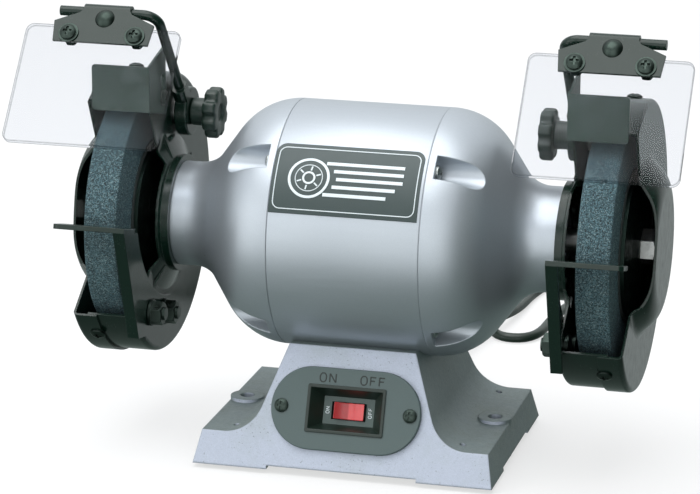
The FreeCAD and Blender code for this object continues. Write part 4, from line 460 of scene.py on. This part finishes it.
def make_materials():
    effects.update(grain=grain_group(), wear=wear_group(), dust=dust_group(), scratch=scratch_group())
    materials.update(
        silver_paint=shell_paint(), silver_casting=casting_paint(), black_paint=enamel(),
        struck_paint=dusty_enamel(), pale_print=moulded("Pale print", (0.62, 0.68, 0.70), 0.45, 0.00001),
        switch_face=moulded("Switch face", (0.050, 0.078, 0.071), 0.42, 0.00002, 0.03),
        dark_print=moulded("Dark print", (0.012, 0.018, 0.016), 0.5, 0.00001),
        wheel_grit=abrasive(), clear_sheet=clear_sheet(), plate_print=plate_print(),
        red_rocker=translucent_red(),
        switch_label=moulded("Switch plate paint", (0.060, 0.090, 0.088), 0.38, 0.00003, 0.05),
        black_plastic=moulded("Black moulding", (0.005, 0.015, 0.010), 0.40, 0.00003, 0.03, 0.05, 0.0007),
        knob_plastic=moulded("Knob moulding", (0.009, 0.022, 0.016), 0.34, 0.00004, 0.06),
        cord_rubber=moulded("Cord sheath", (0.017, 0.028, 0.021), 0.36, 0.00004, 0.08),
        foot_rubber=moulded("Foot rubber", (0.012, 0.013, 0.013), 0.72, 0.00010, 0.25),
        white_plastic=moulded("White moulding", (0.72, 0.71, 0.66), 0.45),
        blotter_card=moulded("Pressed card", (0.022, 0.030, 0.028), 0.80, 0.00008, 0.10),
        winding_copper=metal("Varnished copper", (0.50, 0.20, 0.08), 0.35),
        core_steel=metal("Stacked laminations", (0.28, 0.28, 0.28), 0.42, (40.0, 0.5, 0.5)),
        ground_steel=metal("Ground steel", (0.52, 0.53, 0.52), 0.28, (20.0, 0.6, 0.6)),
        flange_steel=metal("Pressed flange", (0.032, 0.052, 0.043), 0.34, tarnish=0.35),
        zinc_plate=metal("Zinc plate", (0.50, 0.51, 0.52), 0.32),
        zinc_screws=metal("Zinc screws", (0.46, 0.49, 0.48), 0.24),
        black_screws=metal("Black oxide", (0.052, 0.070, 0.061), 0.28, tarnish=0.2),
        brass_blades=metal("Stamped brass", (0.62, 0.45, 0.18), 0.28),
        capacitor_can=metal("Drawn can", (0.62, 0.63, 0.64), 0.30, (30.0, 0.5, 0.5)))


# ---------------------------------------------------------------- mesh helpers
FINISHES = {"left_spark_arrestor": "struck_paint", "right_spark_arrestor": "struck_paint",
            "switch_body": "switch_face"}


def slot_of(node):
    """The record's material slot of a node."""
    for entry in frame["record"]["subparts"]:
        if entry["node"] == node:
            return entry["material_slot"]
    raise RuntimeError("no slot for " + node)


def body_with(node):
    """The moving body a node belongs to."""
    for body, nodes in frame["record"]["behaviour"]["bodies"].items():
        if node in nodes:
            return body
    raise RuntimeError("no body holds " + node)


def finish_piece(name, work, node, slot=None, finish=None, replaced=(), sharp=35.0):
    """Make an object from a bmesh, give it its finish and let it ride with the node's body."""
    mesh = bpy.data.meshes.new(name)
    work.to_mesh(mesh)
    work.free()
    mesh.polygons.foreach_set("use_smooth", [True] * len(mesh.polygons))
    mesh.set_sharp_from_angle(angle=math.radians(sharp))
    piece = bpy.data.objects.new(name, mesh)
    bpy.context.scene.collection.objects.link(piece)
    chosen = slot or slot_of(node)
    mesh.materials.append(materials[finish or FINISHES.get(node, chosen)])
    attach(piece, body_with(node))
    if replaced:
        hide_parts(*replaced)
    return piece


def merged_copy(node):
    """A clean copy of a node's mesh: doubles merged and flat faces joined."""
    work = bmesh.new()
    work.from_mesh(frame["nodes"][node].data)
    bmesh.ops.remove_doubles(work, verts=work.verts, dist=0.00001)
    bmesh.ops.dissolve_limit(work, angle_limit=math.radians(0.4), verts=work.verts, edges=work.edges)
    return work


def softened(node, width, segments=3, angle=32.0):
    """The node's own shape with its sharp edges rounded."""
    piece = finish_piece(node + "_finish", merged_copy(node), node, replaced=(node,), sharp=angle)
    rounding = piece.modifiers.new("Rounded edges", "BEVEL")
    rounding.width = width
    rounding.segments = segments
    rounding.limit_method = "ANGLE"
    rounding.angle_limit = math.radians(angle)
    rounding.use_clamp_overlap = True
    normals = piece.modifiers.new("Even shading", "WEIGHTED_NORMAL")
    normals.keep_sharp = True
    return piece


def carry(node):
    """Keep the node's own shape and give it its finish."""
    item = frame["nodes"][node]
    for index in range(max(1, len(item.material_slots))):
        if index >= len(item.material_slots):
            item.data.materials.append(None)
        item.material_slots[index].material = materials[FINISHES.get(node, slot_of(node))]


def middle_of(node):
    """Middle of a node's box."""
    low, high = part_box(node)
    return (Vector(low) + Vector(high)) / 2


def lathe(profile, centre, axis, steps=None):
    """A closed ring of revolution: profile is (along, radius) in metres from centre along axis."""
    along = Vector(axis)
    out = along.orthogonal().normalized()
    work = bmesh.new()
    points = [work.verts.new(Vector(centre) + along * x + out * r) for x, r in profile]
    edges = [work.edges.new(pair) for pair in zip(points, points[1:] + points[:1])]
    bmesh.ops.spin(work, geom=points + edges, cent=centre, axis=along, angle=2 * math.pi,
                   steps=steps or settings().turned_steps, use_merge=True)
    bmesh.ops.recalc_face_normals(work, faces=work.faces)
    return work


STROKE_LOW = -0.0003
STROKE_HIGH = 0.00025
STROKE_CORNERS = ((1, STROKE_LOW), (1, STROKE_HIGH), (-1, STROKE_HIGH), (-1, STROKE_LOW))


def stroke(work, path, width, to_space, closed=False):
    """A raised flat line along a path of (across, up) places, laid on a surface by to_space."""
    count = len(path)
    rows = []
    for index, (u, v) in enumerate(path):
        before = path[index - 1] if closed or index > 0 else path[index]
        after = path[(index + 1) % count] if closed or index < count - 1 else path[index]
        way = Vector((after[0] - before[0], after[1] - before[1])).normalized()
        side = Vector((-way.y, way.x)) * (width / 2)
        rows.append([work.verts.new(to_space(u + sign * side.x, v + sign * side.y, height))
                     for sign, height in STROKE_CORNERS])
    for index in range(count if closed else count - 1):
        row, after = rows[index], rows[(index + 1) % count]
        for corner in range(4):
            other = (corner + 1) % 4
            work.faces.new((row[corner], row[other], after[other], after[corner]))
    if not closed:
        work.faces.new(rows[0])
        work.faces.new(rows[-1])


def rounded_rectangle(half_u, half_v, radius, steps=6):
    """A closed path round a rectangle, with places no more than about 3 mm apart."""
    corners = []
    for quarter, (sign_u, sign_v) in enumerate(((1, 1), (-1, 1), (-1, -1), (1, -1))):
        for step in range(steps + 1):
            angle = math.radians(90 * quarter + 90 * step / steps)
            corners.append(Vector((sign_u * (half_u - radius) + radius * math.cos(angle),
                                   sign_v * (half_v - radius) + radius * math.sin(angle))))
    path = []
    for corner, after in zip(corners, corners[1:] + corners[:1]):
        pieces = max(1, round((after - corner).length / 0.003))
        path += [tuple(corner.lerp(after, piece / pieces)) for piece in range(pieces)]
    return path


def arc(centre, radius, start, end, steps):
    """Places along an arc, from start to end in degrees."""
    return [(centre[0] + radius * math.cos(math.radians(start + (end - start) * step / steps)),
             centre[1] + radius * math.sin(math.radians(start + (end - start) * step / steps)))
            for step in range(steps + 1)]


# Letters are strokes in a box one unit high: each is a width and a list of (closed, path).
LETTERS = {
    "O": (0.72, [(True, [(0.22, 0.0), (0.50, 0.0), (0.66, 0.16), (0.72, 0.34), (0.72, 0.66), (0.66, 0.84),
                         (0.50, 1.0), (0.22, 1.0), (0.06, 0.84), (0.0, 0.66), (0.0, 0.34), (0.06, 0.16)])]),
    "N": (0.72, [(False, [(0.0, 0.0), (0.0, 1.0)]), (False, [(0.04, 0.96), (0.68, 0.04)]),
                 (False, [(0.72, 0.0), (0.72, 1.0)])]),
    "F": (0.62, [(False, [(0.0, 0.0), (0.0, 1.0)]), (False, [(0.0, 0.95), (0.62, 0.95)]),
                 (False, [(0.0, 0.52), (0.52, 0.52)])]),
}


def lettering(work, word, size, width, centre, to_space, turned=False, gap=0.42):
    """A word in stroked letters round a centre, set upright or turned a quarter."""
    total = sum(LETTERS[letter][0] for letter in word) + gap * (len(word) - 1)
    at = -total / 2
    for letter in word:
        for closed, path in LETTERS[letter][1]:
            laid = []
            for u, v in path:
                across, up = (at + u) * size, (v - 0.5) * size
                step = (-up, across) if turned else (across, up)
                laid.append((centre[0] + step[0], centre[1] + step[1]))
            stroke(work, laid, width, to_space, closed)
        at += LETTERS[letter][0] + gap


def on_barrel(u, v, height):
    """A place on the nameplate: u along the spindle, v round the barrel from the plate's middle."""
    low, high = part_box("nameplate")
    radius = SHELL_RADIUS + 0.0006
    low_angle = math.asin((low[2] - AXIS_Z) / radius)
    high_angle = math.asin((high[2] - AXIS_Z) / radius)
    angle = (low_angle + high_angle) / 2 + v / radius
    return Vector(((low[0] + high[0]) / 2 + u, -(radius + height) * math.cos(angle),
                   AXIS_Z + (radius + height) * math.sin(angle)))


FRONT_LEAN = math.radians(21.0)
FRONT_OUT = Vector((0.0, -math.cos(FRONT_LEAN), math.sin(FRONT_LEAN)))
FRONT_UP = Vector((0.0, math.sin(FRONT_LEAN), math.cos(FRONT_LEAN)))


def on_plate(u, v, height):
    """A place on the switch plate's face."""
    return middle_of("switch_plate") + Vector((u, 0.0, 0.0)) + FRONT_UP * v + FRONT_OUT * (0.0015 + height)


def in_bezel(u, v, height):
    """A place on the switch's own face, at the bottom of the bezel."""
    return on_plate(u, v, height - 0.009)


SHELL_WALL = 0.004
SHELL_LIP = 0.0005
LABEL_INSET = 0.0022
LABEL_HALF_HEIGHT = 0.0195
EMBLEM_MIDDLE = (-0.0225, 0.0)


def make_motor():
    """The shell's tube, and a plain wheel emblem with five bars printed on the plate."""
    half, out, lip = SEAM_X, SHELL_RADIUS, SHELL_LIP
    profile = [(-half, out - SHELL_WALL), (half, out - SHELL_WALL), (half, out - lip),
               (half - lip * 0.3, out - lip * 0.3), (half - lip, out), (-half + lip, out),
               (-half + lip * 0.3, out - lip * 0.3), (-half, out - lip)]
    work = lathe(profile, (0.0, 0.0, AXIS_Z), (1.0, 0.0, 0.0), 2 * settings().turned_steps)
    finish_piece("shell_tube", work, "motor_shell", replaced=("motor_shell",), sharp=60.0)
    low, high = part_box("nameplate")
    half_u = (high[0] - low[0]) / 2 - LABEL_INSET
    art = bmesh.new()
    stroke(art, rounded_rectangle(half_u, LABEL_HALF_HEIGHT, 0.0042), 0.0006, on_barrel, True)
    wheel = EMBLEM_MIDDLE
    stroke(art, arc(wheel, 0.0118, 0, 354, 59), 0.0016, on_barrel, True)
    stroke(art, arc(wheel, 0.0082, 0, 350, 35), 0.0005, on_barrel, True)
    stroke(art, arc(wheel, 0.0034, 0, 345, 23), 0.0012, on_barrel, True)
    for angle in (20, 80, 140, 200, 260, 320):
        way = (math.cos(math.radians(angle)), math.sin(math.radians(angle)))
        stroke(art, [(wheel[0] + way[0] * 0.0046, wheel[1] + way[1] * 0.0046),
                     (wheel[0] + way[0] * 0.0074, wheel[1] + way[1] * 0.0074)], 0.0009, on_barrel)
    for level, start, end in ((0.0098, -0.0130, 0.0340), (0.0049, -0.0080, 0.0340), (0.0, -0.0060, 0.0340),
                              (-0.0049, -0.0080, 0.0300), (-0.0098, -0.0130, 0.0250)):
        stroke(art, [(start + (end - start) * step / 12, level) for step in range(13)], 0.0021, on_barrel)
    bmesh.ops.recalc_face_normals(art, faces=art.faces)
    finish_piece("nameplate_emblem", art, "nameplate", "white_plastic", "pale_print", sharp=30.0)


WHEEL_BORE = 0.00635
WHEEL_EDGE = 0.0007
WHEEL_ROWS = 8


def make_wheels():
    """Each wheel as a turned ring with softened rims and rows across its tread."""
    for word in SIDES:
        node = word + "_grinding_wheel"
        low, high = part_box(node)
        radius = (high[2] - low[2]) / 2
        near, far, bore, edge, rows = low[0], high[0], WHEEL_BORE, WHEEL_EDGE, WHEEL_ROWS
        tread = [(far - edge - (far - near - 2 * edge) * row / rows, radius) for row in range(rows + 1)]
        profile = [(near, bore), (far, bore), (far, radius * 0.5), (far, radius - edge),
                   (far - edge * 0.3, radius - edge * 0.3)] + tread
        profile += [(near + edge * 0.3, radius - edge * 0.3), (near, radius - edge), (near, radius * 0.5)]
        work = lathe(profile, (0.0, 0.0, AXIS_Z), (1.0, 0.0, 0.0), 2 * settings().turned_steps)
        finish_piece(word + "_abrasive_wheel", work, node, replaced=(node,), sharp=50.0)


def make_base():
    """The casting, feet, bolts, nuts, tool rests and spark arrestors with softened edges."""
    softened("base_casting", settings().cast_round, 4, 24.0)
    softened("rubber_feet", 0.0008, 3)
    for node in ("tool_rest_bolts", "arbor_nuts"):
        softened(node, 0.0003, 2)
    for word in SIDES:
        softened(word + "_tool_rest", settings().edge_round, 3)
        softened(word + "_spark_arrestor", settings().edge_round / 2, 2)


def make_switch():
    """Plate, bezel and rocker, with the words beside the rocker and on the plate."""
    softened("switch_plate", 0.0005, 3)
    softened("switch_bezel", 0.0006, 3)
    softened("switch_rocker", 0.0005, 3)
    marks = bmesh.new()
    lettering(marks, "ON", 0.0052, 0.0008, (-0.0125, 0.0188), on_plate)
    lettering(marks, "OFF", 0.0052, 0.0008, (0.0150, 0.0188), on_plate)
    bmesh.ops.recalc_face_normals(marks, faces=marks.faces)
    finish_piece("switch_plate_marks", marks, "switch_plate", "black_plastic", "dark_print", sharp=30.0)
    small = bmesh.new()
    lettering(small, "ON", 0.0021, 0.0004, (-0.0131, 0.0), in_bezel, True)
    lettering(small, "OFF", 0.0021, 0.0004, (0.0131, 0.0), in_bezel, True)
    bmesh.ops.recalc_face_normals(small, faces=small.faces)
    finish_piece("switch_face_marks", small, "switch_body", "white_plastic", "pale_print", sharp=30.0)


KNOB_BITE = 0.0030
KNOB_BITE_OUT = 0.0006


def knob_outline(radius, notches=8, steps=192):
    """Radii round a scalloped knob: round bites with softened corners."""
    reach, bite = radius + KNOB_BITE_OUT, KNOB_BITE
    radii = []
    for step in range(steps):
        away = ((step / steps * notches + 0.5) % 1.0 - 0.5) * 2 * math.pi / notches
        chord = bite ** 2 - (reach * math.sin(away)) ** 2
        near = reach * math.cos(away) - math.sqrt(chord) if chord > 0 else radius
        radii.append(min(radius, near))
    for _ in range(3):
        radii = [(radii[index - 1] + 2 * radii[index] + radii[(index + 1) % steps]) / 4
                 for index in range(steps)]
    return radii


def make_knobs():
    """Levels are (depth, amount, scalloped): the amount is taken off the outline or is the radius."""
    for word, side in SIDES.items():
        node = word + "_shield_knob"
        low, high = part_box(node)
        centre = middle_of(node)
        face = low[0] if side > 0 else high[0]
        length = high[0] - low[0]
        radii = knob_outline((high[2] - low[2]) / 2)
        levels = [(0.0016, 0.0022, 0), (0.0014, 0.0050, 0), (0.0004, 0.0058, 0), (0.0001, 0.0064, 0),
                  (0.0, 0.0028, 1), (0.0002, 0.0012, 1), (0.0008, 0.0004, 1), (0.0018, 0.0, 1),
                  (0.0067, 0.0, 1), (0.0077, 0.0004, 1), (0.0083, 0.0012, 1), (0.0085, 0.0028, 1),
                  (0.0086, 0.0092, 0), (0.0092, 0.0086, 0), (length - 0.0006, 0.0084, 0), (length, 0.0078, 0)]
        work = bmesh.new()
        rings = []
        for depth, amount, scalloped in levels:
            ring = []
            for step, outline in enumerate(radii):
                angle = 2 * math.pi * step / len(radii)
                radius = outline - amount if scalloped else amount
                ring.append(work.verts.new((face + side * depth, centre.y + radius * math.cos(angle),
                                            centre.z + radius * math.sin(angle))))
            rings.append(ring)
        for ring, after in zip(rings[:-1], rings[1:]):
            for index in range(len(ring)):
                work.faces.new((ring[index - 1], ring[index], after[index], after[index - 1]))
        for ring, depth in ((rings[0], 0.0016), (rings[-1], length)):
            pole = work.verts.new((face + side * depth, centre.y, centre.z))
            for index in range(len(ring)):
                work.faces.new((ring[index - 1], ring[index], pole))
        bmesh.ops.recalc_face_normals(work, faces=work.faces)
        finish_piece(word + "_scalloped_knob", work, node, replaced=(node,), sharp=40.0)


def make_shields():
    """Knobs, clear sheets and their brackets."""
    make_knobs()
    for word in SIDES:
        softened(word + "_eye_shield", 0.0007, 3)
        softened(word + "_shield_bracket", settings().edge_round / 2, 2)


ROUTE = ((8.0, 60.0, 26.0), (8.0, 84.0, 26.0), (8.0, 110.2, 26.0), (11.0, 158.0, 15.0), (18.0, 206.0, 10.4),
         (26.5, 250.0, 10.4), (33.5, 300.0, 4.4), (35.0, 348.0, 3.4), (48.0, 398.0, 3.4), (88.0, 418.0, 3.4),
         (104.0, 378.0, 3.4), (70.0, 344.0, 3.4), (60.0, 294.0, 3.4), (58.5, 236.0, 3.4), (31.0, 231.0, 3.4),
         (20.0, 268.0, 3.4), (-24.0, 280.0, 3.4), (-66.0, 271.0, 3.4))
CORD_RADIUS = 0.00325
COIL_MIDDLE = (-0.085, 0.310)
COIL_TURNS = 4.25


def coil_line():
    """The wound part: out, in, up and out again, a cord's width apart."""
    per_turn = 24
    shrink = 1.0 / math.cos(math.pi / per_turn) ** 0.7
    places = [(39.25, 3.4), (32.6, 3.4), (32.6, 9.95), (39.25, 9.95), (39.25, 9.95), (39.25, 9.95)]
    line = []
    for step in range(int(COIL_TURNS * per_turn) + 1):
        turns = step / per_turn
        whole = int(turns)
        part = max(0.0, (turns - whole - 0.82) / 0.18)
        ease = part * part * (3 - 2 * part)
        radius = places[whole][0] + (places[whole + 1][0] - places[whole][0]) * ease
        level = places[whole][1] + (places[whole + 1][1] - places[whole][1]) * ease
        angle = -math.pi / 2 - 2 * math.pi * turns
        line.append(Vector((COIL_MIDDLE[0] + radius * MM * shrink * math.cos(angle),
                            COIL_MIDDLE[1] + radius * MM * shrink * math.sin(angle), level * MM)))
    return line


def make_cord():
    """The cord as one swept line: out of the gland, along the floor, wound and into the plug."""
    line = [Vector(point) * MM for point in ROUTE] + coil_line()
    plug_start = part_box("plug")[0][1]
    end_x = line[-1].x
    for along, level in ((0.010, 9.3), (0.022, 6.6), (0.032, 5.4), (0.042, 6.6)):
        line.append(Vector((end_x, COIL_MIDDLE[1] + along, level * MM)))
    plug_middle = middle_of("plug")
    line.append(Vector((plug_middle.x, plug_start + 0.008, plug_middle.z)))
    line.append(Vector((plug_middle.x, plug_start + 0.016, plug_middle.z)))
    data = bpy.data.curves.new("mains_cord", "CURVE")
    data.dimensions = "3D"
    data.bevel_depth = CORD_RADIUS
    data.bevel_resolution = 5
    data.resolution_u = 6
    data.use_fill_caps = True
    spline = data.splines.new("NURBS")
    spline.points.add(len(line) - 1)
    for point, spot in zip(spline.points, line):
        point.co = (spot.x, spot.y, spot.z, 1.0)
    spline.order_u = 3
    spline.use_endpoint_u = True
    cord = bpy.data.objects.new("mains_cord", data)
    bpy.context.scene.collection.objects.link(cord)
    data.materials.append(materials["cord_rubber"])
    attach(cord, "frame")
    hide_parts("power_cord", "cord_coil")
    softened("plug", 0.0014, 4)


SLEEVE_WIDE = 0.0068
SLEEVE_NARROW = 0.0046
GROOVE_DEPTH = 0.0007


def make_gland():
    """Strain relief: a flanged bush and a tapered sleeve with flexing grooves."""
    low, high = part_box("cord_gland")
    inner = CORD_RADIUS + 0.00002
    root = low[1]
    length = high[1] - root
    lip = 0.0173
    profile = [(0.0, inner), (0.0, 0.0080), (0.0008, 0.0088), (0.0062, 0.0088), (0.0068, 0.0060),
               (lip - 0.0044, 0.0060), (lip - 0.0038, 0.0086), (lip - 0.0008, 0.0086), (lip, 0.0078)]
    ribs = 6
    start, end = lip + 0.0006, length - 0.0006
    for rib in range(ribs):
        for share, grooved in ((0.0, 0), (0.55, 0), (0.62, 1), (0.93, 1)):
            at = start + (end - start) * (rib + share) / ribs
            radius = SLEEVE_WIDE + (SLEEVE_NARROW - SLEEVE_WIDE) * (at - start) / (end - start)
            profile.append((at, radius - GROOVE_DEPTH * grooved))
    profile += [(end, SLEEVE_NARROW), (length, 0.0042), (length, inner)]
    centre = middle_of("cord_gland")
    work = lathe(profile, (centre.x, root, centre.z), (0.0, 1.0, 0.0), 48)
    finish_piece("strain_relief", work, "cord_gland", replaced=("cord_gland",), sharp=40.0)


# ---------------------------------------------------------------- operators
class GRINDER_OT_stage(bpy.types.Operator):
    """Floor, backdrop, lights and camera"""

    bl_idname = "grinder.stage"
    bl_label = "Stage"

    def execute(self, context):
        make_floor()
        make_lights()
        make_camera()
        return {"FINISHED"}


class GRINDER_OT_materials(bpy.types.Operator):
    """Paints, plastics, metals and abrasive"""

    bl_idname = "grinder.materials"
    bl_label = "Materials"

    def execute(self, context):
        make_materials()
        return {"FINISHED"}


class GRINDER_OT_motor(bpy.types.Operator):
    """Shell tube and the printed emblem"""

    bl_idname = "grinder.motor"
    bl_label = "Motor"

    def execute(self, context):
        make_motor()
        return {"FINISHED"}


class GRINDER_OT_wheels(bpy.types.Operator):
    """Both abrasive wheels"""

    bl_idname = "grinder.wheels"
    bl_label = "Grinding wheels"

    def execute(self, context):
        make_wheels()
        return {"FINISHED"}


class GRINDER_OT_base(bpy.types.Operator):
    """Cast base, feet, tool rests, arrestors and their bolts"""

    bl_idname = "grinder.base"
    bl_label = "Base, rests and arrestors"

    def execute(self, context):
        make_base()
        return {"FINISHED"}


class GRINDER_OT_switch(bpy.types.Operator):
    """Plate, bezel, rocker and the on and off marks"""

    bl_idname = "grinder.switch"
    bl_label = "Switch"

    def execute(self, context):
        make_switch()
        return {"FINISHED"}


class GRINDER_OT_shields(bpy.types.Operator):
    """Clear sheets, brackets and scalloped knobs"""

    bl_idname = "grinder.shields"
    bl_label = "Eye shields"

    def execute(self, context):
        make_shields()
        return {"FINISHED"}


class GRINDER_OT_cord(bpy.types.Operator):
    """Mains cord with its coil, plug and strain relief"""

    bl_idname = "grinder.cord"
    bl_label = "Cord"

    def execute(self, context):
        make_cord()
        make_gland()
        return {"FINISHED"}


class GRINDER_OT_carried(bpy.types.Operator):
    """Finish of every node that keeps its own shape"""

    bl_idname = "grinder.carried"
    bl_label = "Carried nodes"

    def execute(self, context):
        for node in frame["nodes"]:
            carry(node)
        return {"FINISHED"}


FLOOR_HALF = 6.0
FLOOR_GLOW = 0.64


def make_floor():
    """A pale floor with a faint glow; it is hidden from the object's own reflections."""
    work = bmesh.new()
    bmesh.ops.create_grid(work, x_segments=1, y_segments=1, size=FLOOR_HALF)
    mesh = bpy.data.meshes.new("floor")
    work.to_mesh(mesh)
    work.free()
    floor = bpy.data.objects.new("floor", mesh)
    bpy.context.scene.collection.objects.link(floor)
    made, tree, shader = blank_material("Floor")
    shade(tree, shader, Base_Color=(0.32, 0.32, 0.32), Roughness=0.9, Emission_Color=(1.0, 1.0, 1.0),
          Emission_Strength=FLOOR_GLOW)
    mesh.materials.append(made)
    floor.visible_diffuse = False
    floor.visible_glossy = False


def area_light(name, place_at, aim, size, power):
    """A square light at a place, turned towards its aim."""
    data = bpy.data.lights.new(name, "AREA")
    data.shape = "SQUARE"
    data.size = size
    data.energy = power
    light = bpy.data.objects.new(name, data)
    light.location = place_at
    light.rotation_euler = (Vector(place_at) - Vector(aim)).to_track_quat("Z", "Y").to_euler()
    bpy.context.scene.collection.objects.link(light)


LIGHTS = (("overhead", (-0.25, -0.35, 1.8), (0.0, 0.0, 0.1), 1.8, 25.0),
          ("left fill", (-1.5, -1.5, 0.35), (0.0, 0.0, 0.12), 1.8, 11.0),
          ("front fill", (0.35, -2.3, 0.3), (0.0, 0.0, 0.1), 2.1, 13.0))


def make_lights():
    """A pale studio: bright above, dim below, with a dark card on the right and three soft lights."""
    world = bpy.data.worlds.new("Studio")
    world.use_nodes = True
    tree = world.node_tree
    way = add(tree, "ShaderNodeSeparateXYZ", Vector=add(tree, "ShaderNodeTexCoord").outputs["Generated"])
    height = ramp(tree, way.outputs[2], -0.65, 0.60)
    sky = blend(tree, height, (0.15, 0.20, 0.18), (0.97, 1.0, 1.03))
    card = ramp(tree, way.outputs[0], 0.48, 0.74)
    carded = blend(tree, sums(tree, "MULTIPLY", card, 0.96), sky, (0.026, 0.058, 0.042))
    seen = add(tree, "ShaderNodeLightPath").outputs["Is Camera Ray"]
    feed(tree, tree.nodes["Background"].inputs["Color"], blend(tree, seen, carded, (1.0, 1.0, 1.0)))
    tree.nodes["Background"].inputs["Strength"].default_value = 1.0
    bpy.context.scene.world = world
    bpy.context.scene.view_settings.view_transform = "Standard"
    for light in LIGHTS:
        area_light(*light)


CAMERA_AZIMUTH = math.radians(14.2)
CAMERA_ELEVATION = math.radians(15.2)
CAMERA_ROLL = math.radians(0.5)
CAMERA_DISTANCE = 1.9012
CAMERA_TARGET = Vector((-0.0137, 0.0, AXIS_Z - 0.0142))


def make_camera():
    """A long lens from the front, a little to the right and above."""
    azimuth, elevation, roll = CAMERA_AZIMUTH, CAMERA_ELEVATION, CAMERA_ROLL
    back = Vector((math.sin(azimuth) * math.cos(elevation), -math.cos(azimuth) * math.cos(elevation),
                   math.sin(elevation)))
    right = Vector((math.cos(azimuth), math.sin(azimuth), 0.0))
    up = back.cross(right)
    turned_right = right * math.cos(roll) + up * math.sin(roll)
    turned_up = up * math.cos(roll) - right * math.sin(roll)
    data = bpy.data.cameras.new("camera")
    data.lens = settings().camera_lens
    data.sensor_width = 36.0
    camera = bpy.data.objects.new("camera", data)
    turn = Matrix((turned_right, turned_up, back)).transposed().to_4x4()
    camera.matrix_world = Matrix.Translation(CAMERA_TARGET + back * CAMERA_DISTANCE) @ turn
    bpy.context.scene.collection.objects.link(camera)
    bpy.context.scene.camera = camera


class GRINDER_PT_panel(bpy.types.Panel):
    """Lists the grinder's sizes, colours and steps"""

    bl_label = "Grinder"
    bl_idname = "GRINDER_PT_panel"
    bl_space_type = "VIEW_3D"
    bl_region_type = "UI"
    bl_category = "Grinder"

    def draw(self, context):
        layout = self.layout
        for name in GrinderSettings.__annotations__:
            layout.prop(context.scene.grinder, name)
        for step in STEPS:
            layout.operator(step.bl_idname)


STEPS = (GRINDER_OT_stage, GRINDER_OT_materials, GRINDER_OT_carried, GRINDER_OT_cord, GRINDER_OT_motor,
         GRINDER_OT_wheels, GRINDER_OT_base, GRINDER_OT_switch, GRINDER_OT_shields)
CLASSES = (GrinderSettings,) + STEPS + (GRINDER_PT_panel,)


def register():
    for item in CLASSES:
        bpy.utils.register_class(item)
    bpy.types.Scene.grinder = PointerProperty(type=GrinderSettings)


def unregister():
    del bpy.types.Scene.grinder
    for item in reversed(CLASSES):
        bpy.utils.unregister_class(item)


def main():
    """Build everything."""
    register()
    for step in STEPS:
        category, name = step.bl_idname.split(".")
        getattr(getattr(bpy.ops, category), name)()


if __name__ == "__main__":
    main()
